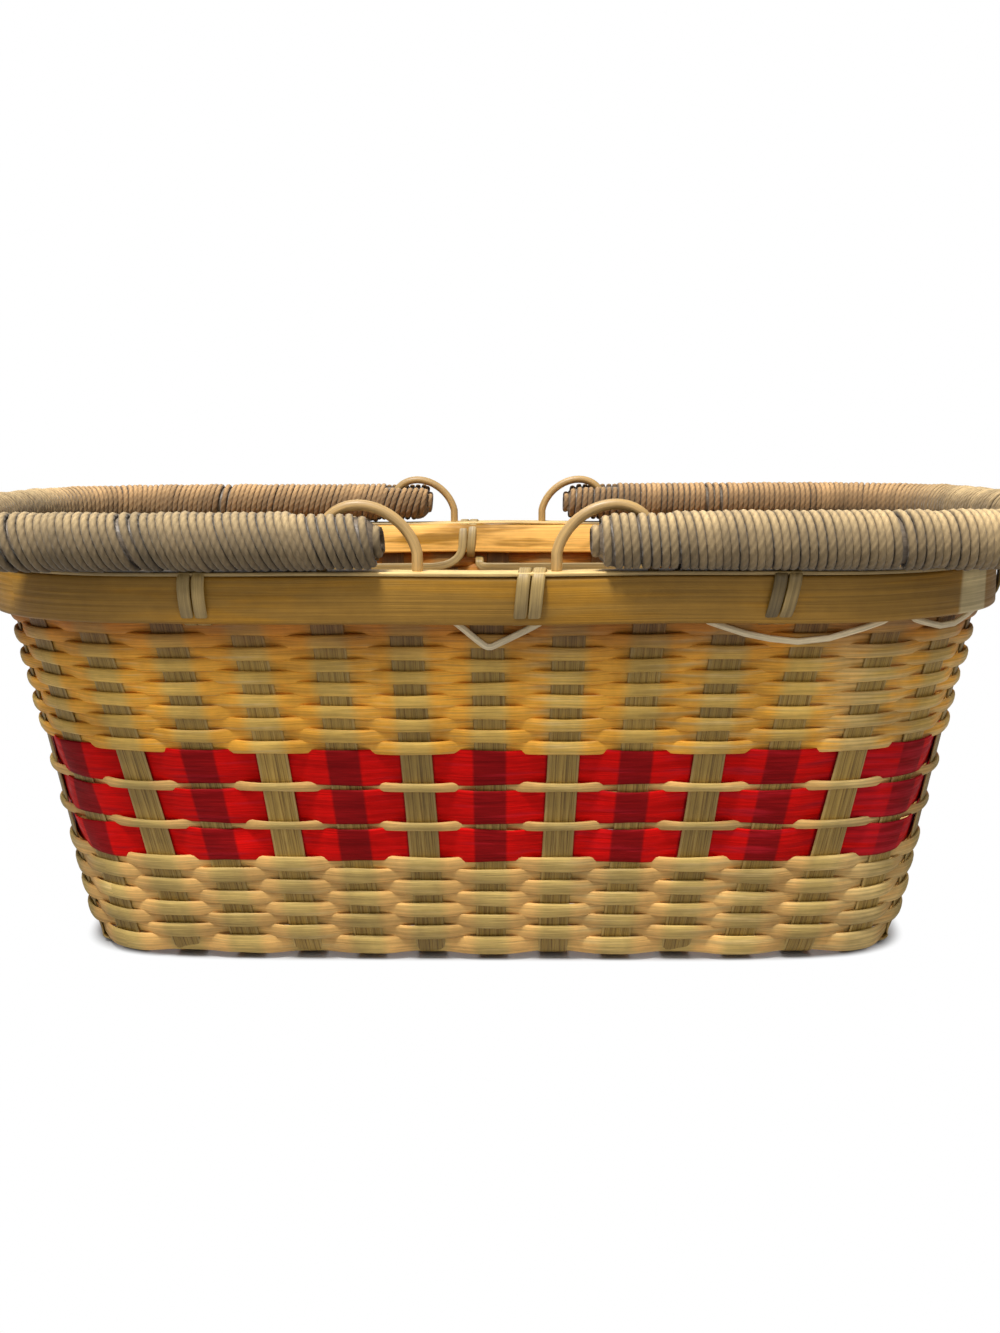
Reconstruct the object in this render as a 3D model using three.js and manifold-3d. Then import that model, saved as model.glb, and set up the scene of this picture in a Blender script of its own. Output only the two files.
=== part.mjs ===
// Harvest basket: a woven rectangular basket with a lashed rim and two wrapped swing handles.
// Millimetres, +Z up. The origin is at the bottom centre, X runs along the length, the front is at -Y.

import * as THREE from 'three';
import { mergeVertices } from 'three/addons/utils/BufferGeometryUtils.js';
import Module from 'manifold-3d';

// Rim, measured over the outer band
const rimLength = 430;
const rimWidth = 250;
const rimCorner = 85;
const rimBow = 8;
const bandTop = 170;
const outerBandHeight = 17.2;
const innerBandHeight = 15.6;
const bandThickness = 5;
const bandSlot = 1;
const fillerHeight = 1.2;
const fillerInset = 1.5;

// Base, measured at the middle of the stakes
const baseLength = 362;
const baseWidth = 166;
const baseCorner = 40;
const baseBow = 3;

// Stakes: flat strips that cross the base and stand up in the wall
const crossStakes = 13;
const longStakes = 6;
const stakeWidth = 12.5;
const stakeThickness = 1;
const stakeBend = 3.2;
const stakeTopGap = 0.6;
const crossingMargin = 0.8;
const twistPerStep = THREE.MathUtils.degToRad(3);

// Weavers: flat splints that pass in front of one stake and behind the next
const weaverThickness = 0.8;
const lowerRows = 8;
const lowerRowHeight = 5.1;
const redRows = 3;
const redRowHeight = 12.2;
const thinRowHeight = 4.6;
const upperRows = 11;
const rowGap = 0.4;
const firstRowRise = 1;

// Lashing: one flat cane that turns twice round the rim at each spot and runs on inside
const lashingWidth = 4.8;
const lashingThickness = 1;
const lashingTurnGap = 0.5;
const lashingRunDrop = 5;
const lashingTurns = 2;
const frontLashings = [-4, 0, 3];
const endLashings = [-2.5, 1.5];
const backLashings = [-4, 0, 4];

// Hinge loops: round canes that stand in the rim and carry the handles
const loopRadius = 17.5;
const loopCane = 4.4;
const loopClearance = 0.8;

// Handles: a cane bent to a U and wrapped in cord, which lies a little above its hinge axis
const handleRadius = 10.9;
const hingeDrop = 6.6;
const handleEndDome = 4;
const handleOverhang = 38;
const handleBend = 60;
const headWall = 5.75;
const handleCore = 13.6;
const cordDiameter = 3;
const cordPitch = 3.5;
const windingLength = 62;
const mostTurns = 24;
const slotClearance = 0.45;
const slotTop = THREE.MathUtils.degToRad(65);
const slotFoot = THREE.MathUtils.degToRad(250);
const slotOverlap = THREE.MathUtils.degToRad(5);

// Clearance between neighbouring pieces
const gap = 0.3;

// Facets
const bandStepsPerLeg = 2.5;
const handleSides = 12;
const handleBendSteps = 5;
const loopSides = 6;
const loopArcSteps = 10;
const cordSides = 4;
const cordStepsPerTurn = 8;
const slotSteps = 6;
const domeSteps = 3;
const reachPasses = 16;

// Levels and places that follow from the sizes
const legs = 2 * (crossStakes + longStakes);
const frontMiddle = (crossStakes - 1) / 2;
const rightMiddle = crossStakes + (longStakes - 1) / 2;
const backMiddle = frontMiddle + legs / 2;
const leftMiddle = rightMiddle + legs / 2;
const underLevel = stakeThickness / 2;
const crossLevel = underLevel + stakeThickness + gap;
const overLevel = crossLevel + stakeThickness + gap;
const rimHalfThickness = stakeThickness / 2 + bandSlot + bandThickness;
const rimTop = bandTop + gap + fillerHeight;
const lashingUnder = bandTop - outerBandHeight - gap - lashingThickness / 2;
const firstRowBottom = crossLevel + stakeBend + firstRowRise;
const lastRowTop = lashingUnder - lashingThickness / 2 - gap;
const handleLine = rimTop + gap + lashingThickness + gap + handleRadius;
const hingeAxis = handleLine - hingeDrop;
const handleEndX = rimLength / 2 - rimHalfThickness + handleOverhang;
const loopFoot = hingeAxis - rimTop - gap;

// Materials
const natural = { color: 0xc29a57, roughness: 0.6, metalness: 0 };
const dyedRed = { color: 0xb0121d, roughness: 0.45, metalness: 0 };
const bamboo = { color: 0x9c8143, roughness: 0.55, metalness: 0 };
const bambooRim = { color: 0xa27a34, roughness: 0.5, metalness: 0 };
const paleFiller = { color: 0xd9bd78, roughness: 0.6, metalness: 0 };
const cane = { color: 0xbf9650, roughness: 0.5, metalness: 0 };
const cord = { color: 0x9d8b66, roughness: 0.85, metalness: 0 };

const wasm = await Module();
wasm.setup();

// A closed solid through a row of rings of points; the ends are capped unless it closes on itself
function loft(rings, closed) {
  const count = rings[0].length;
  const positions = rings.flat().flatMap((point) => [point.x, point.y, point.z]);
  const triangles = [];
  const spans = closed ? rings.length : rings.length - 1;
  for (let ring = 0; ring < spans; ring += 1) {
    const here = ring * count;
    const next = ((ring + 1) % rings.length) * count;
    for (let side = 0; side < count; side += 1) {
      const turn = (side + 1) % count;
      triangles.push([here + side, here + turn, next + turn]);
      triangles.push([here + side, next + turn, next + side]);
    }
  }
  if (!closed) {
    const last = (rings.length - 1) * count;
    for (let side = 1; side < count - 1; side += 1) {
      triangles.push([0, side + 1, side]);
      triangles.push([last, last + side, last + side + 1]);
    }
  }
  const geometry = new THREE.BufferGeometry();
  geometry.setAttribute('position', new THREE.Float32BufferAttribute(positions, 3));
  const outward = signedVolume(rings.flat(), triangles) > 0;
  geometry.setIndex(triangles.flatMap(([a, b, c]) => (outward ? [a, b, c] : [a, c, b])));
  return geometry;
}

// Six times the volume inside the triangles, positive when they face outwards
function signedVolume(points, triangles) {
  const cross = new THREE.Vector3();
  return triangles.reduce(
    (sum, [a, b, c]) => sum + points[a].dot(cross.crossVectors(points[b], points[c])),
    0,
  );
}

function piece(name, geometry, look) {
  geometry.computeVertexNormals();
  const mesh = new THREE.Mesh(geometry, new THREE.MeshStandardMaterial(look));
  mesh.name = name;
  return mesh;
}

// Four corners of a flat strip: its side vector spans the width, its face vector the thickness
function stripRing(centre, side, face, width, thickness) {
  const corner = (across, out) => centre.clone()
    .addScaledVector(side, across * width / 2)
    .addScaledVector(face, out * thickness / 2);
  return [corner(1, 1), corner(-1, 1), corner(-1, -1), corner(1, -1)];
}

// A rounded rectangle with bowed long sides, walked from the front middle round by the right end
function outlinePoint(level, share) {
  const { halfLength, halfWidth, corner, bow } = level;
  const frontRun = halfLength - corner;
  const arcRun = corner * Math.PI / 2;
  const quarter = frontRun + arcRun + halfWidth - corner;
  const walked = THREE.MathUtils.euclideanModulo(share, 1) * 4;
  const part = Math.min(Math.floor(walked), 3);
  const along = (part % 2 === 0 ? walked - part : part + 1 - walked) * quarter;
  const angle = THREE.MathUtils.clamp((along - frontRun) / corner, 0, Math.PI / 2);
  const beyond = Math.max(along - frontRun - arcRun, 0);
  const x = Math.min(along, frontRun) + corner * Math.sin(angle);
  const y = halfWidth - corner + corner * Math.cos(angle) - beyond;
  const bowed = y * (1 + bow / halfWidth * (1 - (x / halfLength) ** 2));
  return new THREE.Vector2(part < 2 ? x : -x, part === 0 || part === 3 ? -bowed : bowed);
}

const rimLevel = {
  halfLength: rimLength / 2 - rimHalfThickness,
  halfWidth: rimWidth / 2 - rimHalfThickness,
  corner: rimCorner - rimHalfThickness,
  bow: rimBow,
};
const baseEdge = { halfLength: baseLength / 2, halfWidth: baseWidth / 2, corner: baseCorner, bow: baseBow };

// The wall is ruled: each leg runs straight from the base outline to the rim outline
function wallCentre(leg, z) {
  const share = (leg - frontMiddle) / legs;
  const rise = (z - crossLevel) / (bandTop - crossLevel);
  const flat = outlinePoint(baseEdge, share).lerp(outlinePoint(rimLevel, share), rise);
  return new THREE.Vector3(flat.x, flat.y, z);
}

// Level tangent along the wall, in the direction of rising leg numbers
function wallTangent(leg, z) {
  const step = 0.02;
  return wallCentre(leg + step, z).sub(wallCentre(leg - step, z)).normalize();
}

function wallNormal(leg, z) {
  const tangent = wallTangent(leg, z);
  return new THREE.Vector3(tangent.y, -tangent.x, 0);
}

function wallPoint(leg, z, out) {
  return wallCentre(leg, z).addScaledVector(wallNormal(leg, z), out);
}

// Way along the rim that the lashing moves on in one turn, on each pass under, up and over the rim
const lashingOut = rimHalfThickness + gap + lashingThickness / 2;
const lashingOver = rimTop + gap + lashingThickness / 2;
const lashingStep = lashingWidth + lashingTurnGap;
const underStep = lashingStep * lashingOut / (2 * lashingOut + lashingOver - lashingUnder);
const faceStep = lashingStep / 2 - underStep;
const lashingMiddle = ((2 * lashingTurns - 1) * lashingStep + 2 * underStep) / 4;
const rimPitch = wallCentre(frontMiddle, bandTop).distanceTo(wallCentre(frontMiddle + 1, bandTop));

// The hinge loops stand beside the middle lashing, on the middle line of the rim
const lashingEdge = lashingTurns * lashingStep - faceStep - lashingMiddle + lashingWidth / 2;
const hingeFromMiddle = rimPitch / 2 + lashingEdge + loopClearance + loopCane / 2 + loopRadius;
const handleLegY = rimLevel.halfWidth + rimBow * (1 - (hingeFromMiddle / rimLevel.halfLength) ** 2);
const legStart = handleEndX - handleBend - hingeFromMiddle;
const slotHalf = loopCane / 2 + slotClearance;
const footReach = Math.hypot(loopRadius, loopFoot);
const handleHead = footReach + slotHalf + headWall;
const windingEnd = handleHead + windingLength;

// Stations down one stake leg, close enough that a twisted leg stays true
function legRings(leg, facing) {
  const top = bandTop + gap - stakeTopGap;
  const foot = crossLevel + stakeBend;
  const twist = wallTangent(leg, top).angleTo(wallTangent(leg, foot));
  const steps = Math.max(1, Math.ceil(twist / twistPerStep));
  const rings = [];
  for (let step = 0; step <= steps; step += 1) {
    const z = THREE.MathUtils.lerp(top, foot, step / steps);
    const side = wallTangent(leg, z).multiplyScalar(facing);
    rings.push(stripRing(wallCentre(leg, z), side, wallNormal(leg, z), stakeWidth, stakeThickness));
  }
  return rings;
}

const alongX = new THREE.Vector3(1, 0, 0);
const alongY = new THREE.Vector3(0, 1, 0);
const down = new THREE.Vector3(0, 0, -1);

function baseRing(x, y, z, side) {
  return stripRing(new THREE.Vector3(x, y, z), side, down, stakeWidth, stakeThickness);
}

// Cross stakes run straight over the base, from the front wall to the back wall
function crossStake(number) {
  const frontLeg = number;
  const backLeg = frontMiddle + backMiddle - number;
  const front = wallCentre(frontLeg, crossLevel);
  const back = wallCentre(backLeg, crossLevel);
  const rings = [
    ...legRings(frontLeg, 1),
    baseRing(front.x, front.y + stakeBend, crossLevel, alongX),
    baseRing(back.x, back.y - stakeBend, crossLevel, alongX),
    ...legRings(backLeg, -1).reverse(),
  ];
  return piece(`cross_stake_${number + 1}`, loft(rings, false), bamboo);
}

// Long stakes weave over and under the cross stakes, from the right end to the left end
function longStake(number) {
  const rightLeg = crossStakes + number;
  const leftLeg = rightMiddle + leftMiddle - rightLeg;
  const right = wallCentre(rightLeg, crossLevel);
  const left = wallCentre(leftLeg, crossLevel);
  const reach = stakeWidth / 2 + crossingMargin;
  const rings = [...legRings(rightLeg, 1), baseRing(right.x - stakeBend, right.y, crossLevel, alongY)];
  for (let crossing = crossStakes - 1; crossing >= 0; crossing -= 1) {
    const x = wallCentre(crossing, crossLevel).x;
    const z = (crossing + number) % 2 === 0 ? underLevel : overLevel;
    rings.push(baseRing(x + reach, right.y, z, alongY), baseRing(x - reach, right.y, z, alongY));
  }
  rings.push(baseRing(left.x + stakeBend, left.y, crossLevel, alongY));
  rings.push(...legRings(leftLeg, -1).reverse());
  return piece(`long_stake_${number + 1}`, loft(rings, false), bamboo);
}

// How far one row stands off the wall at each leg, so that it clears the edges of every stake:
// in front of a stake a bend of the wall takes room away, and behind a stake it gives room
function rowReach(row, z) {
  const edge = stakeWidth / 2;
  const clear = stakeThickness / 2 + weaverThickness / 2 + gap;
  const round = (leg) => (leg + legs) % legs;
  const needed = (leg, neighbour, reach) => {
    const chord = wallCentre(neighbour, z).sub(wallCentre(leg, z));
    const share = edge / chord.length();
    const turn = wallTangent(leg, z).multiplyScalar(neighbour - leg).angleTo(chord);
    const bend = turn * edge * (inFront(leg, row) ? 1 : -1);
    return (clear + bend + share * reach[round(neighbour)]) / (1 - share);
  };
  let reach = new Array(legs).fill(clear);
  for (let pass = 0; pass < reachPasses; pass += 1) {
    const last = reach;
    reach = last.map((_, leg) => Math.max(clear, needed(leg, leg - 1, last), needed(leg, leg + 1, last)));
  }
  return reach;
}

function inFront(leg, row) {
  return (leg + row) % 2 === 0;
}

function weaver(name, row, bottom, height, look) {
  const reach = rowReach(row, bottom + height / 2);
  const face = weaverThickness / 2;
  const rings = reach.map((distance, leg) => {
    const out = inFront(leg, row) ? distance : -distance;
    return [
      wallPoint(leg, bottom + height, out + face),
      wallPoint(leg, bottom, out + face),
      wallPoint(leg, bottom, out - face),
      wallPoint(leg, bottom + height, out - face),
    ];
  });
  return piece(name, loft(rings, true), look);
}

// Rows from the base up: lower natural rows, red rows with thin natural rows between, upper natural rows
function weavers() {
  const rows = [];
  let bottom = firstRowBottom;
  const add = (name, height, look) => {
    rows.push(weaver(name, rows.length, bottom, height, look));
    bottom += height + rowGap;
  };
  for (let row = 1; row <= lowerRows; row += 1) {
    add(`lower_weaver_${row}`, lowerRowHeight, natural);
  }
  for (let row = 1; row <= redRows; row += 1) {
    add(`red_weaver_${row}`, redRowHeight, dyedRed);
    if (row < redRows) {
      add(`thin_weaver_${row}`, thinRowHeight, natural);
    }
  }
  const upperRowHeight = (lastRowTop + rowGap - bottom) / upperRows - rowGap;
  for (let row = 1; row <= upperRows; row += 1) {
    add(`upper_weaver_${row}`, upperRowHeight, natural);
  }
  return rows;
}

// A hoop round the wall between two offsets and two heights
function hoop(name, inner, outer, bottom, top, look) {
  const steps = Math.round(legs * bandStepsPerLeg);
  const rings = [];
  for (let step = 0; step < steps; step += 1) {
    const leg = frontMiddle + step * legs / steps;
    rings.push([
      wallPoint(leg, top, outer),
      wallPoint(leg, bottom, outer),
      wallPoint(leg, bottom, inner),
      wallPoint(leg, top, inner),
    ]);
  }
  return piece(name, loft(rings, true), look);
}

function rim() {
  const slot = stakeThickness / 2 + bandSlot;
  const bottom = bandTop - outerBandHeight;
  const fillerHalf = rimHalfThickness - fillerInset;
  return [
    hoop('rim_outer_band', slot, rimHalfThickness, bottom, bandTop, bambooRim),
    hoop('rim_inner_band', -rimHalfThickness, -slot, bandTop - innerBandHeight, bandTop, bambooRim),
    hoop('rim_filler', -fillerHalf, fillerHalf, bandTop + gap, rimTop, paleFiller),
  ];
}

// Legs after which the cane goes round the rim, in its order round the basket
const lashedAfterLeg = [
  ...frontLashings.map((leg) => frontMiddle + leg),
  ...endLashings.map((leg) => rightMiddle + leg),
  ...backLashings.map((leg) => backMiddle + leg),
  ...endLashings.map((leg) => leftMiddle + leg),
];

// The lashing cane: at each spot it comes up from its run inside, goes under the rim, up the outer
// band, over the filler and down the inner band, and after its turns it runs on to the next spot.
// It isn't twisted, so the side that lies on the rim changes from one spot to the next
function lashing() {
  const run = lashingUnder - lashingRunDrop;
  const rings = [];
  const level = { along: 1, up: 0 };
  const upright = { along: 0, up: 1 };
  const turnToRun = { along: 1, up: 1 };
  const turnToRim = { along: 1, up: -1 };
  const toRim = { out: 1, up: 0 };
  const fromRim = { out: -1, up: 0 };
  lashedAfterLeg.forEach((leg, spot) => {
    const hand = spot % 2 === 0 ? 1 : -1;
    const add = (at, out, z, across, face) => {
      const rise = wallCentre(at, z + 1).sub(wallCentre(at, z));
      const side = wallTangent(at, z).multiplyScalar(hand * across.along);
      const thick = wallNormal(at, z).multiplyScalar(hand * face.out);
      side.addScaledVector(rise, hand * across.up);
      thick.addScaledVector(rise, hand * face.up);
      rings.push(stripRing(wallPoint(at, z, out), side, thick, lashingWidth, lashingThickness));
    };
    const place = (way) => leg + 0.5 + (way - lashingMiddle) / rimPitch;
    const first = spot === 0;
    const last = spot === lashedAfterLeg.length - 1;
    add(place(0), -lashingOut, run, first ? level : turnToRim, fromRim);
    for (let turn = 0; turn < lashingTurns; turn += 1) {
      const start = turn * lashingStep;
      add(place(start), -lashingOut, lashingUnder, level, { out: turn === 0 ? -1 : 1, up: 1 });
      add(place(start + underStep), lashingOut, lashingUnder, level, { out: -1, up: 1 });
      add(place(start + underStep + faceStep), lashingOut, lashingOver, level, { out: -1, up: -1 });
      add(place(start + lashingStep - faceStep), -lashingOut, lashingOver, level, { out: 1, up: -1 });
    }
    add(place(lashingTurns * lashingStep), -lashingOut, run, last ? level : turnToRun, toRim);
    const next = last ? leg : lashedAfterLeg[spot + 1];
    for (let passed = leg + 2; passed <= next; passed += 1) {
      add(passed, -lashingOut, run, upright, toRim);
    }
  });
  return piece('rim_lashing', loft(rings, false), cane);
}

// A hinge loop: a half circle of cane about the hinge axis on two straight feet that stand on the rim
function hingeLoop(name, x, y) {
  const axis = new THREE.Vector3(x, y, hingeAxis);
  const point = (across, rise) => axis.clone().add(new THREE.Vector3(across, 0, rise));
  const circle = [];
  for (let step = 0; step <= loopArcSteps; step += 1) {
    const angle = step / loopArcSteps * Math.PI;
    circle.push(point(loopRadius * Math.cos(angle), loopRadius * Math.sin(angle)));
  }
  const path = [point(loopRadius, -loopFoot), ...circle, point(-loopRadius, -loopFoot)];
  const rings = path.map((centre, index) => {
    const before = path[Math.max(index - 1, 0)];
    const after = path[Math.min(index + 1, path.length - 1)];
    const along = after.clone().sub(before).normalize();
    const across = new THREE.Vector3(along.z, 0, -along.x);
    return roundRing(centre, across, alongY, loopCane / 2, loopSides);
  });
  return piece(name, loft(rings, false), cane);
}

function roundRing(centre, across, up, radius, sides) {
  return Array.from({ length: sides }, (_, side) => {
    const angle = (side + 0.5) / sides * 2 * Math.PI;
    return centre.clone()
      .addScaledVector(across, radius * Math.cos(angle))
      .addScaledVector(up, radius * Math.sin(angle));
  });
}

// A loft or extrusion as a solid that can be cut
function toSolid(geometry) {
  const bare = geometry.index ? geometry.clone() : geometry;
  bare.deleteAttribute('normal');
  bare.deleteAttribute('uv');
  const merged = mergeVertices(bare);
  return new wasm.Manifold(new wasm.Mesh({
    numProp: 3,
    vertProperties: new Float32Array(merged.attributes.position.array),
    triVerts: new Uint32Array(merged.index.array),
  }));
}

function fromSolid(solid) {
  const mesh = solid.getMesh();
  const geometry = new THREE.BufferGeometry();
  geometry.setAttribute('position', new THREE.BufferAttribute(new Float32Array(mesh.vertProperties), 3));
  geometry.setIndex(new THREE.BufferAttribute(new Uint32Array(mesh.triVerts), 1));
  return geometry;
}

// The slot that lets a leg swing round its hinge loop: narrow above the axis, wide below it for the foot
function loopSlot(legY) {
  const sector = (inner, outer, from, to) => {
    const shape = new THREE.Shape();
    shape.absarc(0, 0, outer, from, to, false);
    shape.absarc(0, 0, inner, to, from, true);
    const cut = new THREE.ExtrudeGeometry(shape, {
      depth: 2 * slotHalf,
      bevelEnabled: false,
      curveSegments: slotSteps,
    });
    cut.rotateX(Math.PI / 2);
    cut.translate(0, legY + slotHalf, 0);
    return toSolid(cut);
  };
  const above = sector(loopRadius - slotHalf, loopRadius + slotHalf, slotTop, Math.PI + slotOverlap);
  const below = sector(loopRadius - slotHalf, footReach + slotHalf, Math.PI - slotOverlap, slotFoot);
  return above.add(below);
}

// The handle's cane lies in the group of its hinge axis, with its bow towards -X
function handleCane() {
  const rings = [];
  const add = (x, y, angle, radius) => {
    const across = new THREE.Vector3(Math.sin(angle), -Math.cos(angle), 0);
    rings.push(roundRing(new THREE.Vector3(x, y, hingeDrop), across, down, radius, handleSides));
  };
  const leg = (y, angle) => {
    const stations = [];
    for (let step = 1; step <= domeSteps; step += 1) {
      const rise = step / domeSteps * Math.PI / 2;
      stations.push([handleEndDome * Math.cos(rise), handleRadius * Math.sin(rise)]);
    }
    stations.push([-handleHead, handleRadius], [-handleHead, handleCore / 2]);
    stations.push([-windingEnd, handleCore / 2], [-windingEnd, handleRadius], [-legStart, handleRadius]);
    return stations.map(([x, radius]) => [x, y, angle, radius]);
  };
  leg(-handleLegY, Math.PI).forEach((station) => add(...station));
  const halfEnd = handleLegY - handleBend;
  for (let step = 1; step <= handleBendSteps; step += 1) {
    const turn = step / handleBendSteps * Math.PI / 2;
    const x = -legStart - handleBend * Math.sin(turn);
    add(x, -halfEnd - handleBend * Math.cos(turn), Math.PI - turn, handleRadius);
  }
  for (let step = 0; step < handleBendSteps; step += 1) {
    const turn = (1 - step / handleBendSteps) * Math.PI / 2;
    const x = -legStart - handleBend * Math.sin(turn);
    add(x, halfEnd + handleBend * Math.cos(turn), turn, handleRadius);
  }
  leg(handleLegY, 0).reverse().forEach((station) => add(...station));
  const slots = loopSlot(-handleLegY).add(loopSlot(handleLegY));
  return fromSolid(toSolid(loft(rings, false)).subtract(slots));
}

// Centre line of the cord on one leg: a helix with a straight run of one diameter at each end
function windingPath(legY) {
  const wound = handleRadius - cordDiameter / 2;
  const room = windingLength - 2 * (gap + cordDiameter);
  const turns = Math.min(mostTurns, Math.floor((room - cordDiameter) / cordPitch));
  const start = -handleHead - gap - cordDiameter;
  const steps = turns * cordStepsPerTurn;
  const pitch = room / turns;
  const place = (x, angle) => new THREE.Vector3(
    x,
    legY + wound * Math.cos(angle),
    hingeDrop + wound * Math.sin(angle),
  );
  const stations = [{ centre: place(start + cordDiameter, 0), angle: 0, lead: 1 }];
  for (let step = 0; step <= steps; step += 1) {
    const angle = step / cordStepsPerTurn * 2 * Math.PI;
    const corner = step === 0 || step === steps;
    const centre = place(start - pitch * step / cordStepsPerTurn, angle);
    stations.push({ centre, angle, lead: corner ? 0.5 : 0 });
  }
  const finish = stations[stations.length - 1];
  stations.push({ centre: place(-windingEnd + gap, finish.angle), angle: finish.angle, lead: 1 });
  return stations;
}

// Least distance between turns of one winding, from the surface of the cord
function leastGap(stations) {
  let least = Infinity;
  for (let first = 0; first < stations.length; first += 1) {
    for (let second = first + cordStepsPerTurn - 2; second < stations.length; second += 1) {
      least = Math.min(least, stations[first].centre.distanceTo(stations[second].centre));
    }
  }
  return least - cordDiameter;
}

function winding(name, legY) {
  const stations = windingPath(legY);
  console.log(`${name}: least gap between turns ${leastGap(stations).toFixed(2)} mm`);
  const rings = stations.map(({ centre, angle, lead }) => {
    const radial = new THREE.Vector3(0, Math.cos(angle), Math.sin(angle));
    const around = new THREE.Vector3(0, -Math.sin(angle), Math.cos(angle));
    const side = alongX.clone().multiplyScalar(1 - lead).addScaledVector(around, lead);
    if (lead === 0.5) {
      side.multiplyScalar(2);
    }
    return cordRing(centre, radial, side);
  });
  return piece(name, loft(rings, false), cord);
}

function cordRing(centre, radial, side) {
  return Array.from({ length: cordSides }, (_, corner) => {
    const angle = corner / cordSides * 2 * Math.PI;
    return centre.clone()
      .addScaledVector(radial, cordDiameter / 2 * Math.cos(angle))
      .addScaledVector(side, cordDiameter / 2 * Math.sin(angle));
  });
}

// The right handle is the left one turned half round, so its near leg lies at the back
function handle(side, facing, nearLeg, farLeg) {
  const group = new THREE.Group();
  group.position.set(-facing * hingeFromMiddle, 0, hingeAxis);
  group.rotation.z = facing > 0 ? 0 : Math.PI;
  group.add(piece(`${side}_handle_cane`, handleCane(), cord));
  group.add(winding(`${side}_handle_wrap_${nearLeg}`, -handleLegY));
  group.add(winding(`${side}_handle_wrap_${farLeg}`, handleLegY));
  return group;
}

const basket = new THREE.Group();
for (let number = 0; number < crossStakes; number += 1) {
  basket.add(crossStake(number));
}
for (let number = 0; number < longStakes; number += 1) {
  basket.add(longStake(number));
}
basket.add(...weavers(), ...rim(), lashing());
basket.add(hingeLoop('hinge_loop_front_left', -hingeFromMiddle, -handleLegY));
basket.add(hingeLoop('hinge_loop_back_left', -hingeFromMiddle, handleLegY));
basket.add(hingeLoop('hinge_loop_front_right', hingeFromMiddle, -handleLegY));
basket.add(hingeLoop('hinge_loop_back_right', hingeFromMiddle, handleLegY));
basket.add(handle('left', 1, 'front', 'back'));
basket.add(handle('right', -1, 'back', 'front'));

export default basket;
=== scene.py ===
"""Harvest basket: splint weave, lashed bamboo rim and two cord-wound swing handles.

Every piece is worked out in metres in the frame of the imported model: X along the basket, the front at -Y,
Z up from the underside. The wall is described by two numbers, the leg (a count of stakes from the left of
the front, 38 round the basket) and the height, and every woven or lashed piece is placed by them.
"""

import math

import bpy
import numpy as np
from mathutils import Matrix


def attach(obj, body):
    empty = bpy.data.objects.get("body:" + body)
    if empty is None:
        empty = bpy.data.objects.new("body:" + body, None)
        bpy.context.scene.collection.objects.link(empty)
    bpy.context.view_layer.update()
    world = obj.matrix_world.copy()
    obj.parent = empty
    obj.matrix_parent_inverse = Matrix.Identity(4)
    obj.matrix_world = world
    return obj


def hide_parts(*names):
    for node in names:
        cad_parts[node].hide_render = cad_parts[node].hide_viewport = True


bl_info = {
    "name": "Harvest Basket",
    "version": (1, 0, 0),
    "blender": (4, 5, 0),
    "location": "View3D > Sidebar > Basket",
    "description": "Builds a woven harvest basket with two swing handles around its packed frame",
    "category": "Add Mesh",
}

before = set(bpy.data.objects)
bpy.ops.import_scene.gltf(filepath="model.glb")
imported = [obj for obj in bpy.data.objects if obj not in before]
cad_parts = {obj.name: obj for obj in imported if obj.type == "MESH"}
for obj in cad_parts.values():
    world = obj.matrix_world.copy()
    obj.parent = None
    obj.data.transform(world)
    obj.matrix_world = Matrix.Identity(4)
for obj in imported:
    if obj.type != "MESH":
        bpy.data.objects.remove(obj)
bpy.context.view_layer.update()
MM = 0.001
TURN = 2 * math.pi

# Thin cane below the outer band: legs from the middle of the front, and millimetres below the band
OUTER_RUNS = (
    ((-0.42, -1.0), (-0.36, 0.4), (-0.06, 8.6), (0.02, 9.6), (0.1, 8.6), (0.55, 1.6), (0.68, -1.0)),
    ((2.65, -1.0), (2.7, 0.0), (3.3, 6.0), (4.0, 8.5), (4.8, 1.0), (4.9, -1.0)),
    ((5.2, -1.0), (5.3, 1.0), (5.9, 5.5), (6.5, 1.0), (6.6, -1.0)),
)

# Spots of the lashing on the front, the right, the back and the left, in stakes from the side's middle
LASHING_SPOTS = ((-4, 0, 3), (-2.5, 1.5), (-4, 0, 4), (-2.5, 1.5))

# Tone of the two turns of lashing at each spot on the front, from the left
FRONT_TURNS = ((1.0, 1.15), (1.15, 1.25), (0.42, 0.85))

# Tone of the outer band's bare end, which its material tells from the rest by being over one
LAP_TONE = 1.8

# Lowest and highest tone that is drawn for a stake and for a turn of lashing, of winding or on a head
STAKE_TONES = (0.82, 1.18)
LASHING_TONES = (0.8, 1.2)
WINDING_TONES = (0.8, 1.2)
HEAD_TONES = (0.82, 1.12)


def length(label, about, millimetres):
    """A length property: its name, what it is for and its default in millimetres."""
    return bpy.props.FloatProperty(
        name=label, description=about, default=millimetres * MM,
        unit="LENGTH", subtype="DISTANCE", precision=5,
    )


def number(label, about, default):
    """A plain number property without a unit."""
    return bpy.props.FloatProperty(name=label, description=about, default=default)


def point(label, about, x, y, z):
    """A place property: its name, what it is for and its default in millimetres."""
    return bpy.props.FloatVectorProperty(
        name=label, description=about, default=(x * MM, y * MM, z * MM), size=3,
        unit="LENGTH", subtype="TRANSLATION",
    )


def count(label, about, default):
    """A whole number property, at least one."""
    return bpy.props.IntProperty(name=label, description=about, default=default, min=1)


def angle(label, about, degrees):
    """An angle property: its name, what it is for and its default in degrees."""
    return bpy.props.FloatProperty(
        name=label, description=about, default=math.radians(degrees), unit="ROTATION", subtype="ANGLE"
    )


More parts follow.
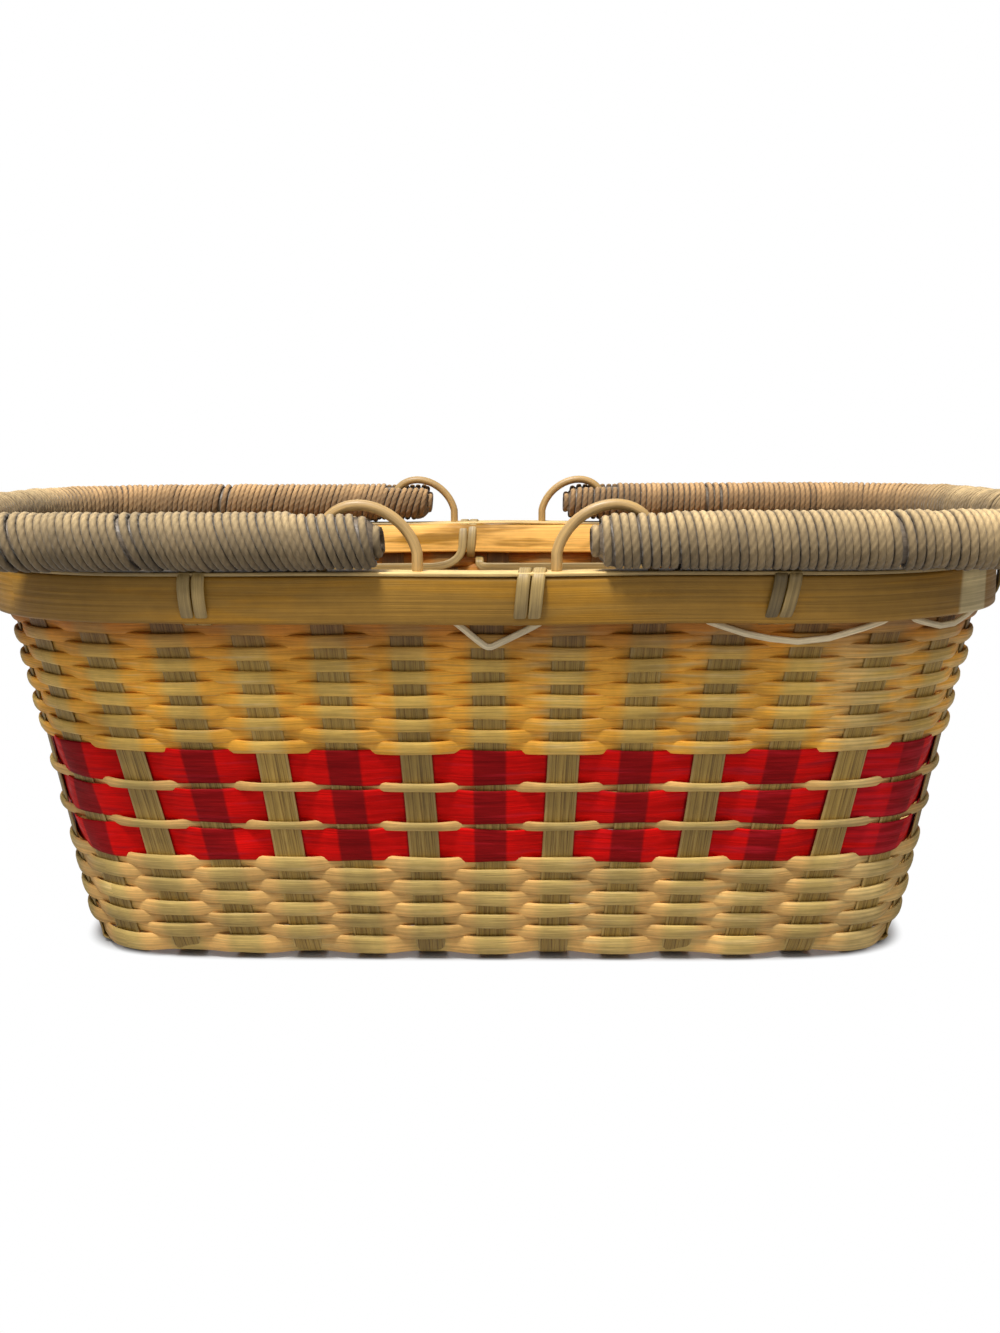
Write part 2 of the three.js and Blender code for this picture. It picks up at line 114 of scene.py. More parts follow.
def colour(label, about, red, green, blue):
    """A colour property with its default as linear red, green and blue."""
    return bpy.props.FloatVectorProperty(
        name=label, description=about, default=(red, green, blue), size=3, min=0, max=1, subtype="COLOR"
    )


class BasketWallSizes(bpy.types.PropertyGroup):
    """The two outlines that the wall is ruled between, and the stakes that stand in it."""

    rim_half_length: length("Rim half length", "Half the rim's length at the middle of its thickness", 208.5)
    rim_half_width: length("Rim half width", "Half the rim's width at its ends, before the bow", 118.5)
    rim_corner: length("Rim corner", "Corner radius of the rim", 78.5)
    rim_bow: length("Rim bow", "How far the rim's long sides bow out", 8)
    rim_height: length("Rim height", "Height of the top of the bands", 170)
    base_half_length: length("Base half length", "Half the length of the base", 181)
    base_half_width: length("Base half width", "Half the width of the base", 83)
    base_corner: length("Base corner", "Corner radius of the base", 40)
    base_bow: length("Base bow", "How far the base's long sides bow out", 3)
    base_level: length("Base level", "Height of the middle of the cross stakes", 1.8)
    cross_stakes: count("Cross stakes", "Stakes that cross the width", 13)
    long_stakes: count("Long stakes", "Stakes that run along the length", 6)
    stake_width: length("Stake width", "Width of one flat stake", 12.5)
    stake_thickness: length("Stake thickness", "Thickness of one flat stake", 1.05)
    stake_bend: length("Stake bend", "Reach of the bend from the base into the wall", 3.2)
    stake_step: length("Stake step", "Height between stakes that cross on the base", 1.3)
    crossing_reach: length("Crossing reach", "Half the flat stretch of a stake over or under another", 7.4)
    twist: length("Stake waver", "How far a stake wavers sideways up the wall", 0.5)


class BasketWeaveSizes(bpy.types.PropertyGroup):
    """Heights and make of the splints that are woven through the stakes."""

    first_bottom: length("First row bottom", "Height of the lowest row's lower edge", 6.0)
    last_top: length("Last row top", "Height of the highest row's upper edge", 151.2)
    lower_rows: count("Lower rows", "Natural rows below the red rows", 8)
    red_rows: count("Red rows", "Wide red rows", 3)
    upper_rows: count("Upper rows", "Natural rows above the red rows", 11)
    lower_height: length("Lower row height", "Height of a lower natural splint", 5.1)
    red_height: length("Red row height", "Height of a red splint", 12.2)
    thin_height: length("Thin row height", "Height of the natural splint between two red ones", 4.6)
    thin_trim: length("Thin trim", "How much narrower a thin splint is than its counted height", 1.1)
    row_gap: length("Row gap", "Gap between two rows as they are counted", 0.4)
    overlap: length("Overlap", "How much taller a splint is than its counted height where it slants", 1.7)
    red_overlap: length("Red overlap", "How much taller a red splint is where it slants", 3.4)
    thin_overlap: length("Thin overlap", "How much taller a thin splint is where it slants", 1.0)
    lower_bulge: length("Lower bulge", "How much taller a lower splint gets in front of a stake", 0.2)
    upper_bulge: length("Upper bulge", "How much taller the other splints get in front of a stake", -0.8)
    thickness: length("Splint thickness", "Thickness of a natural splint at its middle", 2.3)
    red_thickness: length("Red splint thickness", "Thickness of a red splint at its middle", 0.9)
    reach: length("Reach", "How far a splint stands off the wall in front of or behind a stake", 1.45)
    wander: length("Wander", "How far a row wanders up and down", 0.3)
    swell: length("Swell", "How unevenly a row stands off the wall", 0.3)
    height_waver: number("Height waver", "How unevenly tall a splint is, as a share", 0.04)
    tone_waver: number("Tone waver", "How much a splint's tone changes along it, as a share", 0.07)
    tone_spread: number("Tone spread", "How much the rows' tones differ, as a share", 0.12)
    lean: angle("Lean", "How far a splint tips where it passes a stake", 5)
    tuck: length("Tuck", "How far the highest row reaches up between the rim bands", 2.6)
    foot: length("Foot", "How far the lowest row reaches down over the bends of the stakes", 2.2)
    steps: count("Steps per stake", "Mesh steps from one stake to the next", 12)
    seed: count("Seed", "Starting number for the unevenness of the weave", 41)


class BasketRimSizes(bpy.types.PropertyGroup):
    """The bands, the filler and the cane that lashes them."""

    band_top: length("Band top", "Height of the top of the bands above the floor", 169.3)
    outer_height: length("Outer band height", "Height of the outer band", 17.7)
    inner_height: length("Inner band height", "Height of the inner band", 15.6)
    band_thickness: length("Band thickness", "Thickness of each band", 5)
    band_slot: length("Band slot", "Distance from the wall's middle to a band", 1.5)
    band_tilt: number("Band tilt", "How much more upright the outer band's face stands than the wall", 0.2)
    band_round: length("Band rounding", "Rounding of the bands' edges", 1.3)
    filler_half: length("Filler half width", "Half the width of the filler strip", 5)
    filler_gap: length("Filler gap", "Gap between the bands and the filler", 0.15)
    filler_height: length("Filler height", "Height of the filler strip", 1.5)
    # Painted shadow of the handles on the filler, as a tone
    filler_handle_shade: number("Filler handle shade", "Tone of the filler in the painted shadow of the handles", 0.5)
    filler_round: length("Filler rounding", "Rounding of the filler's edges", 0.585)
    waver: length("Rim waver", "How far the bands and the filler waver up and down", 0.3)
    lap_start: number("Lap start", "Start of the bare end, in stakes from the front's middle", 5.75)
    lap_end: number("Lap end", "End of the bare end, in stakes from the front's middle", 6.45)
    lashing_width: length("Lashing width", "Width of the lashing cane", 4.8)
    lashing_thickness: length("Lashing thickness", "Thickness of the lashing cane", 1.15)
    lashing_gap: length("Lashing gap", "Gap between two turns", 0.5)
    lashing_turns: count("Lashing turns", "Turns round the rim at each spot", 2)
    lashing_drop: length("Lashing drop", "How far the inner run lies below the rim", 5)
    clearance: length("Clearance", "Gap between the lashing and the rim", 0.15)
    run_width: length("Run width", "Width of the thin cane that hangs below the outer band", 2.5)
    run_out: length("Run distance", "Distance of that cane from the wall's middle", 3.2)
    steps: count("Steps per stake", "Mesh steps of the rim from one stake to the next", 8)


class BasketHandleSizes(bpy.types.PropertyGroup):
    """The swing handles, their cord and the cane loops that carry them."""

    hinge_x: length("Hinge distance", "Distance of a hinge axis from the middle of the basket", 42.8668)
    leg_y: length("Leg distance", "Distance of a handle leg from the middle of the basket", 126.162)
    axis_z: length("Axis height", "Height of the hinge axes", 177.4)
    hinge_drop: length("Hinge drop", "How far the hinge axis lies below the handle's line", 4.6)
    outset: length("Outset", "How far the handle's line lies outside the plane of its loops", 1.6)
    end_x: length("End distance", "Distance of a handle's end bow from the middle of the basket", 246.5)
    bend: length("Bend", "Radius of the handle's bends", 60)
    radius: length("Handle radius", "Radius over the cord", 10.9)
    dome: length("Dome", "How far a handle's end reaches past its hinge axis", 4.4)
    end_round: length("End rounding", "Length over which a handle's end is rounded", 8)
    slot_half: length("Slot half width", "Half the width of the slot for the loop", 2.3)
    slot_length: length("Slot length", "How far the slot reaches along the leg from the hinge axis", 23.5)
    hub_radius: length("Hub radius", "Radius of the core between the cheeks of a head", 7)
    cord: length("Cord", "Thickness of the cord", 3.0)
    pitch: length("Cord pitch", "Distance from one turn of cord to the next", 3.05)
    turn_spread: number("Turn spread", "How much the widths of the turns differ, as a share", 0.09)
    turn_lift: length("Turn lift", "How unevenly the turns stand off the core", 0.22)
    head_waver: length("Head waver", "How unevenly the half turns on the heads are spaced", 0.2)
    open_turns: count("Open turns", "Turns on each handle with a gap beside them", 5)
    open_width: number("Open width", "Gap beside such a turn, as a share of the pitch", 0.75)
    close_turns: count("Close turns", "Turns at each end of a winding that have no gap", 6)
    left_tone: number("Left cord tone", "How bright the left handle's cord is beside the right one's", 0.70)
    tone_from: number("Tone change start", "Where the left cord's tone starts to change, as a share", 0.35)
    tone_to: number("Tone change end", "Where the left cord's tone has changed, as a share", 0.65)
    # Painted shade on the cord's underside, where it lies on the rim
    underside_shade: number("Painted shade underneath", "How much darker the cord is where it lies on the rim", 0.45)
    lean: length("Cord lean", "How far a turn leans along the left handle's legs", 3.4)
    right_lean: length("Right cord lean", "How far a turn leans along the right handle's legs", 1.0)
    loop_radius: length("Loop radius", "Radius of the hinge loops", 17.5)
    loop_cane: length("Loop cane", "Thickness of the loops' cane", 4.1)
    loop_lean: length("Loop lean", "How far the top of a loop leans towards its handle", 3.6)
    loop_foot: length("Loop foot", "Length of a loop's straight foot below the axis", 7.0)
    steps: count("Steps per turn", "Mesh steps in one turn of cord", 20)
    seed: count("Seed", "Starting number for the unevenness of the winding", 7)


class BasketColours(bpy.types.PropertyGroup):
    """The finishes' colours, as linear values."""

    # Each splint is brighter between two stakes than on a stake: painted light shining through the splint
    # from inside the basket.
    upper_over: colour("Upper splint on a stake", "Upper splint where a stake backs it", 0.60, 0.375, 0.080)
    upper_between: colour("Upper splint between", "Upper splint between two stakes", 0.77, 0.36, 0.033)
    lower_over: colour("Lower splint on a stake", "Lower splint where a stake backs it", 0.48, 0.33, 0.098)
    lower_between: colour("Lower splint between", "Lower splint between two stakes", 0.67, 0.385, 0.116)
    red_over: colour("Red splint on a stake", "Red splint where a stake backs it", 0.24, 0.004, 0.005)
    red_between: colour("Red splint between", "Red splint between two stakes", 0.60, 0.004, 0.003)
    # The two colours below mark weathered stretches at random, and also a painted light that makes the right
    # side of the splints paler.
    natural_worn: colour("Worn splint", "Weathered stretches of the natural splints", 0.64, 0.45, 0.175)
    red_worn: colour("Worn red splint", "Faded stretches of the red splints", 0.42, 0.011, 0.02)
    stake: colour("Stake", "Middle colour of the stakes", 0.37, 0.23, 0.042)
    stake_line: colour("Stake line", "Dark lines in the stakes' grain", 0.165, 0.083, 0.011)
    stake_light: colour("Stake light", "Pale lines in the stakes' grain", 0.54, 0.385, 0.135)
    rim_skin: colour("Rim skin", "Skin side of the rim bands", 0.29, 0.15, 0.022)
    rim_amber: colour("Rim amber", "Amber stretches of the rim bands", 0.34, 0.16, 0.013)
    rim_lap: colour("Rim lap", "Bare end of the outer band where it laps", 0.52, 0.40, 0.19)
    # Painted shade: the weave and the stakes just below the outer band are multiplied by this colour.
    painted_rim_shade: colour("Painted shade under the rim", "Painted shade on the weave close below the outer band", 0.56, 0.42, 0.38)
    rim_inner: colour("Rim inner side", "Pale side of the inner band", 0.83, 0.44, 0.10)
    filler: colour("Filler", "Pale pith strip on top of the rim", 0.70, 0.47, 0.17)
    lashing: colour("Lashing", "Flat lashing cane", 0.30, 0.20, 0.066)
    outer_run: colour("Outer run", "Thin bleached cane below the outer band", 0.74, 0.60, 0.37)
    loop: colour("Loop cane", "Round cane of the hinge loops", 0.46, 0.285, 0.10)
    cord: colour("Cord", "Middle colour of the handle cord", 0.235, 0.162, 0.076)
    # Pale cord stands for wear and for a painted light on the top of the handles.
    cord_pale: colour("Pale cord", "Worn and sunned cord", 0.57, 0.40, 0.19)
    # Painted shade in the furrows between the turns and towards the core.
    cord_furrow_shade: colour("Dark cord", "Cord in the furrows between turns", 0.06, 0.037, 0.014)
    cord_far: colour("Far cord", "Tint of the cord on the far legs of the handles", 0.94, 0.79, 0.69)
    core: colour("Core", "Cane core under the cord", 0.16, 0.12, 0.08)


class BasketStageSizes(bpy.types.PropertyGroup):
    """Camera, lamps and floor."""

    camera_x: length("Camera across", "Camera's place along the basket", 10.9)
    camera_y: length("Camera distance", "Camera's place in front of the basket's middle", -543.4)
    camera_z: length("Camera height", "Camera's height above the floor", 218.6)
    camera_down: angle("Camera down", "How far the camera looks down", 11.2701)
    camera_turn: angle("Camera turn", "How far the camera is turned to the left", 0.8709)
    camera_roll: angle("Camera roll", "How far the camera is rolled", -0.24637)
    lens: number("Lens", "Focal length, in millimetres", 31.03)
    clip: length("Clip", "Nearest distance that the camera shows", 10)
    sensor: number("Sensor", "Long side of the sensor, in millimetres", 36.0)
    floor_reach: length("Floor reach", "Half the edge of the floor", 6000)
    lamp_target: point("Lamp target", "What the lamps face", 0, 0, 100)
    key_place: point("Key place", "Place of the lamp above", -350, -700, 1670)
    key_size: length("Key size", "Edge of the lamp above", 300)
    key_power: number("Key power", "Power of the lamp above, in watts", 40.0)
    fill_place: point("Fill place", "Place of the lamp in front", 600, -1200, 1300)
    fill_power: number("Fill power", "Power of the lamp in front, in watts", 4.8)
    back_place: point("Back place", "Place of the lamp behind", -400, 1000, 1600)
    back_power: number("Back power", "Power of the lamp behind, in watts", 8.0)
    soft_size: length("Soft size", "Edge of the lamps in front and behind", 1000)
    floor_tone: colour("Floor", "Colour of the floor beside the basket", 0.4, 0.4, 0.4)
    world_level: number("World level", "Strength of the light from all round", 0.3)


def sizes():
    """The property groups of the scene, by their short names."""
    return bpy.context.scene.harvest_basket


def unit(vectors):
    """The same directions with length one."""
    return vectors / np.linalg.norm(vectors, axis=-1, keepdims=True)


def leg_count():
    """Stakes that stand round the wall: both ends of every cross and long stake."""
    wall = sizes().wall
    return 2 * (wall.cross_stakes + wall.long_stakes)


def front_middle():
    """The leg in the middle of the front."""
    return (sizes().wall.cross_stakes - 1) / 2


def outline(half_length, half_width, corner, bow, share):
    """Points of a rounded rectangle with bowed long sides, walked from the middle of the front to the right.

    A quarter is a straight run, a quarter circle and a straight run; the other three are its mirror images.
    The bow widens it by 1 + bow / half width * (1 - (x / half length) squared).
    """
    front = half_length - corner
    arc = corner * math.pi / 2
    quarter = front + arc + half_width - corner
    walked = np.mod(share, 1.0) * 4
    part = np.minimum(np.floor(walked), 3)
    along = np.where(part % 2 == 0, walked - part, part + 1 - walked) * quarter
    turned = np.clip((along - front) / corner, 0, math.pi / 2)
    x = np.minimum(along, front) + corner * np.sin(turned)
    y = half_width - corner + corner * np.cos(turned) - np.maximum(along - front - arc, 0)
    y = y * (1 + bow / half_width * (1 - (x / half_length) ** 2))
    return np.stack([np.where(part < 2, x, -x), np.where((part == 0) | (part == 3), -y, y)], -1)


def wall_middle(leg, height):
    """Points of the wall's middle surface: each leg runs straight from the base outline to the rim's."""
    wall = sizes().wall
    leg, height = np.broadcast_arrays(np.asarray(leg, float), np.asarray(height, float))
    share = (leg - front_middle()) / leg_count()
    low = outline(wall.base_half_length, wall.base_half_width, wall.base_corner, wall.base_bow, share)
    high = outline(wall.rim_half_length, wall.rim_half_width, wall.rim_corner, wall.rim_bow, share)
    rise = (height - wall.base_level) / (wall.rim_height - wall.base_level)
    return np.concatenate([low + (high - low) * rise[..., None], height[..., None]], -1)


def wall_tangent(leg, height):
    """Level direction along the wall, towards rising legs, from two close points."""
    step = 0.02
    leg = np.asarray(leg, float)
    return unit(wall_middle(leg + step, height) - wall_middle(leg - step, height))


def wall_point(leg, height, out):
    """Points of the wall moved out along its level normal, which is the tangent turned a quarter."""
    tangent = wall_tangent(leg, height)
    normal = np.stack([tangent[..., 1], -tangent[..., 0], np.zeros(tangent.shape[:-1])], -1)
    return wall_middle(leg, height) + normal * np.broadcast_to(out, tangent.shape[:-1])[..., None]


def waver(leg, random, lowest, highest):
    """A smooth uneven curve that closes round the basket: a sum of sines with random sizes and starts."""
    waves = np.arange(lowest, highest)
    size = random.normal(size=len(waves)) / math.sqrt(len(waves))
    start = random.uniform(0, TURN, len(waves))
    return (size * np.sin(np.multiply.outer(leg, waves) * TURN / leg_count() + start)).sum(-1)


def full_turn(steps):
    """Angles of a full turn in equal steps, without the last one, which is the first again."""
    return np.arange(steps) / steps * TURN


def blunt(values, power):
    """Each value's size raised to a power, with its sign kept."""
    return np.sign(values) * np.abs(values) ** power


def lens(sides, squareness):
    """A closed flat section with rounded edges: cosine and sine of a full turn, each raised to a power."""
    around = full_turn(sides)
    return np.stack([blunt(np.cos(around), squareness), blunt(np.sin(around), squareness)], -1)


def rounded_box(half_width, half_height, rounding, steps):
    """A closed rectangular section whose corners are quarter circles."""
    around = (np.arange(4 * steps) // steps) * math.pi / 2
    around = around + np.tile(np.linspace(0, math.pi / 2, steps), 4)
    corner = np.arange(4 * steps) // steps
    across = np.where((corner == 0) | (corner == 3), 1, -1) * (half_width - rounding)
    rise = np.where(corner < 2, 1, -1) * (half_height - rounding)
    return np.stack([across + rounding * np.cos(around), rise + rounding * np.sin(around)], -1)


def cut_corners(points, passes):
    """A polyline with rounded corners: each pass keeps points a quarter in from both ends of a stretch."""
    for _ in range(passes):
        near = points[:-1] * 0.75 + points[1:] * 0.25
        far = points[:-1] * 0.25 + points[1:] * 0.75
        middle = np.stack([near, far], 1).reshape(-1, points.shape[1])
        points = np.concatenate([points[:1], middle, points[-1:]])
    return points


def run_length(points):
    """Distance walked along each path to each of its points."""
    steps = np.linalg.norm(np.diff(points, axis=-2), axis=-1)
    return np.concatenate([np.zeros(steps.shape[:-1] + (1,)), np.cumsum(steps, axis=-1)], -1)


def sweep(path, side, section):
    """A section carried along paths: its first number goes along the side vector, its second along the face.

    The face is the side crossed with the path's direction, and the side is then squared up to both.
    """
    direction = unit(np.gradient(path, axis=-2))
    face = unit(np.cross(side, direction))
    side = np.cross(direction, face)
    across = section[..., 0, None] * side[..., None, :]
    return path[..., None, :] + across + section[..., 1, None] * face[..., None, :]


def skin(name, points, closed=False, along=None, marks=None):
    """A mesh over one or more grids of points, each with stations along it and a closed section.

    Every cell of a grid is a four-sided face, the ends of an open one are capped, and the faces are turned
    outwards by the sign of the volume inside. The UV map holds the length along and round it, in metres.
    """
    points = points if points.ndim == 4 else points[None]
    tubes, stations, sides = points.shape[:3]
    spans = stations if closed else stations - 1
    ring = np.concatenate([points, points[:, :1]], 1) if closed else points
    along = run_length(ring.mean(2)) if along is None else along
    loop = np.concatenate([points, points[:, :, :1]], 2)
    across = run_length(loop[:, :1])[:, 0]
    tube, row, column = (axis.ravel() for axis in np.indices((tubes, spans, sides)))
    below, beside = (row + 1) % stations, (column + 1) % sides
    first = tube * stations * sides
    quads = np.stack([first + row * sides + column, first + below * sides + column,
                      first + below * sides + beside, first + row * sides + beside], -1)
    here, ahead = along[tube, row], along[tube, row + 1]
    near, far = across[tube, column], across[tube, column + 1]
    u = np.stack([here, ahead, ahead, here], -1)
    v = np.stack([near, near, far, far], -1)
    flat = points.reshape(-1, 3)
    a, b, c, d = np.moveaxis((flat - flat.mean(0))[quads], 1, 0)
    inward = (a * np.cross(b, c) + a * np.cross(c, d)).sum() < 0
    turn = slice(None, None, -1) if inward else slice(None)
    faces = quads[:, turn].tolist()
    uv = np.stack([u[:, turn], v[:, turn]], -1).reshape(-1, 2)
    if not closed:
        start = np.arange(tubes)[:, None] * stations * sides
        caps = np.concatenate([start + np.arange(sides), start + stations * sides - 1 - np.arange(sides)])
        faces += caps[:, turn].tolist()
        uv = np.concatenate([uv, np.zeros((caps.size, 2))])
    mesh = bpy.data.meshes.new(name)
    mesh.from_pydata(flat.tolist(), [], faces)
    mesh.uv_layers.new(name="length").data.foreach_set("uv", uv.astype(np.float32).ravel())
    for mark, values in {"tone": 1.0, **(marks or {})}.items():
        spread = np.broadcast_to(values, points.shape[:3]).astype(np.float32)
        mesh.attributes.new(mark, "FLOAT", "POINT").data.foreach_set("value", spread.ravel())
    mesh.polygons.foreach_set("use_smooth", np.ones(len(faces), bool))
    mesh.update()
    made = bpy.data.objects.new(name, mesh)
    bpy.context.scene.collection.objects.link(made)
    return made


def fit(piece, body, slot, material, *nodes):
    """Gives a piece its material and the body it moves with, and hides the nodes it stands for. Its slot is
    not used.
    """
    piece.data.materials.append(material)
    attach(piece, body)
    if nodes:
        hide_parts(*nodes)
    return piece


class Nodes:
    """Adds nodes to one tree and links them, so that a material reads as a few lines."""

    def __init__(self, tree):
        self.tree = tree

    def add(self, kind, settings=None, **inputs):
        """A node of a kind, with settings on the node and values or links on its sockets."""
        node = self.tree.nodes.new(kind)
        for name, value in (settings or {}).items():
            setattr(node, name, value)
        for name, value in inputs.items():
            self.feed(node, name.replace("_", " "), value)
        return node

    def feed(self, node, name, value):
        """Sets a socket, found by its name or number, to a value or links it to another socket."""
        socket = node.inputs[int(name[1:])] if name[0] == "i" and name[1:].isdigit() else node.inputs[name]
        if isinstance(value, bpy.types.NodeSocket):
            self.tree.links.new(value, socket)
        else:
            socket.default_value = value

    def math(self, operation, first, second=0.0):
        """The result of one sum on two values."""
        return self.add("ShaderNodeMath", {"operation": operation}, i0=first, i1=second).outputs[0]

    def product(self, first, *others):
        """All values multiplied."""
        for value in others:
            first = self.math("MULTIPLY", first, value)
        return first

    def weigh(self, first, first_weight, second, second_weight):
        """Two values added, each times its weight."""
        return self.math("ADD", self.product(first, first_weight), self.product(second, second_weight))

    def place(self):
        """Each point's X, Y and Z on the piece."""
        return self.split(self.add("ShaderNodeTexCoord").outputs["Object"])

    def split(self, vector):
        """The three numbers of a vector."""
        return self.add("ShaderNodeSeparateXYZ", Vector=vector).outputs

    def ramp(self, value, low, high, start=0.0, end=1.0):
        """A value eased from start to end while it goes from low to high."""
        node = self.add("ShaderNodeMapRange", {"interpolation_type": "SMOOTHSTEP"}, Value=value)
        for name, number_value in (("From Min", low), ("From Max", high), ("To Min", start), ("To Max", end)):
            self.feed(node, name, number_value)
        return node.outputs["Result"]

    def mix(self, share, first, second, blend="MIX"):
        """Two colours mixed by a share."""
        node = self.add("ShaderNodeMix", {"data_type": "RGBA", "blend_type": blend})
        self.feed(node, "i0", share)
        self.feed(node, "i6", first)
        self.feed(node, "i7", second)
        return node.outputs[2]

    def stretch(self, vector, along, across):
        """A vector with its first two numbers multiplied, to draw a pattern out."""
        node = self.add("ShaderNodeVectorMath", {"operation": "MULTIPLY"})
        self.feed(node, "i0", vector)
        self.feed(node, "i1", (along, across, 1.0))
        return node.outputs[0]

    def noise(self, vector, scale, detail=4.0, roughness=0.55):
        """Cloudy noise from 0 to 1."""
        node = self.add("ShaderNodeTexNoise", Vector=vector, Scale=scale, Detail=detail, Roughness=roughness)
        return node.outputs["Fac"]

    def mark(self, name):
        """A piece's own number at each point."""
        return self.add("ShaderNodeAttribute", {"attribute_name": name}).outputs["Fac"]

    def group(self, tree, **inputs):
        """A shared effect with its inputs set."""
        node = self.add("ShaderNodeGroup", {"node_tree": tree})
        for name, value in inputs.items():
            self.feed(node, name.replace("_", " "), value)
        return node.outputs


def shared_effect(name, inputs, outputs):
    """An empty shader node group with its sockets, and the nodes that stand for its two ends."""
    tree = bpy.data.node_groups.new(name, "ShaderNodeTree")
    for label, kind, default in inputs:
        socket = tree.interface.new_socket(name=label, in_out="INPUT", socket_type=kind)
        socket.default_value = default
    for label in outputs:
        tree.interface.new_socket(name=label, in_out="OUTPUT", socket_type="NodeSocketFloat")
    nodes = Nodes(tree)
    return nodes, nodes.add("NodeGroupInput").outputs, nodes.add("NodeGroupOutput")


def fibre_grain():
    """Long fibres: noise drawn out along a strip, as a streak from dark to pale and a height for bump."""
    if "Fibre grain" in bpy.data.node_groups:
        return bpy.data.node_groups["Fibre grain"]
    floats = "NodeSocketFloat"
    nodes, given, made = shared_effect(
        "Fibre grain",
        [("Vector", "NodeSocketVector", (0, 0, 0)), ("Along", floats, 30.0), ("Across", floats, 900.0)],
        ["Streak", "Height"],
    )
    scale = nodes.add("ShaderNodeCombineXYZ", X=given["Along"], Y=given["Across"], Z=1.0).outputs[0]
    drawn = nodes.add("ShaderNodeVectorMath", {"operation": "MULTIPLY"}, i0=given["Vector"], i1=scale)
    coarse = nodes.noise(drawn.outputs[0], 1.0, 3.0, 0.6)
    fine = nodes.noise(drawn.outputs[0], 3.1, 2.0, 0.5)
    both = nodes.weigh(coarse, 0.65, fine, 0.35)
    nodes.feed(made, "Streak", nodes.ramp(both, 0.3, 0.7))
    nodes.feed(made, "Height", both)
    return nodes.tree


def aged_tone():
    """Slow changes of tone over the basket, from patches a few centimetres and a few millimetres wide."""
    if "Aged tone" in bpy.data.node_groups:
        return bpy.data.node_groups["Aged tone"]
    nodes, given, made = shared_effect("Aged tone", [("Strength", "NodeSocketFloat", 0.3)], ["Tone"])
    place = nodes.add("ShaderNodeTexCoord").outputs["Object"]
    patches = nodes.noise(place, 28.0, 3.0)
    specks = nodes.noise(place, 240.0, 3.0)
    both = nodes.weigh(patches, 0.7, specks, 0.3)
    spread = nodes.product(nodes.math("SUBTRACT", both, 0.5), 2.4, given["Strength"])
    nodes.feed(made, "Tone", nodes.math("ADD", 1.0, spread))
    return nodes.tree


def stake_backing():
    """One where a stake lies against a splint and nought between the stakes, with its edge blurred; it sets
    where the painted light through a splint shows.
    """
    if "Stake backing" in bpy.data.node_groups:
        return bpy.data.node_groups["Stake backing"]
    floats = "NodeSocketFloat"
    wanted = [("From stake", floats, 0.0), ("Half width", floats, 0.00625), ("Blur", floats, 0.001)]
    nodes, given, made = shared_effect("Stake backing", wanted, ["Backed"])
    past = nodes.math("SUBTRACT", given["From stake"], given["Half width"])
    nodes.feed(made, "Backed", nodes.ramp(nodes.math("DIVIDE", past, given["Blur"]), -0.5, 0.9, 1.0, 0.0))
    return nodes.tree


def painted_rim_shade():
    """Share of the painted shade that the band casts on the wall below it: nought two centimetres down and
    one at the band's edge.
    """
    if "Painted shade under rim" in bpy.data.node_groups:
        return bpy.data.node_groups["Painted shade under rim"]
    nodes, given, made = shared_effect("Painted shade under rim", [("Edge", "NodeSocketFloat", 0.151)], ["Share"])
    above = nodes.math("SUBTRACT", nodes.place()["Z"], given["Edge"])
    nodes.feed(made, "Share", nodes.ramp(above, -0.02, 0.0))
    return nodes.tree


def opaque(colour_value):
    """A colour property as a colour socket's four numbers."""
    return (*colour_value, 1.0)


def surface(name):
    """A new material: its nodes, its shader and the piece's own UV map."""
    material = bpy.data.materials.new(name)
    material.use_nodes = True
    nodes = Nodes(material.node_tree)
    shader = material.node_tree.nodes["Principled BSDF"]
    return material, nodes, shader, nodes.add("ShaderNodeUVMap", {"uv_map": "length"}).outputs["UV"]


def shaded(nodes, colour_socket, tone):
    """A colour multiplied by a tone."""
    node = nodes.add("ShaderNodeVectorMath", {"operation": "SCALE"})
    nodes.feed(node, "i0", colour_socket)
    nodes.feed(node, "Scale", tone)
    return node.outputs[0]


def raised(nodes, shader, height, depth):
    """Bump from a height of nought to one that stands for a depth in metres."""
    bump = nodes.add("ShaderNodeBump", Height=height, Strength=1.0, Distance=depth)
    nodes.feed(shader, "Normal", bump.outputs["Normal"])


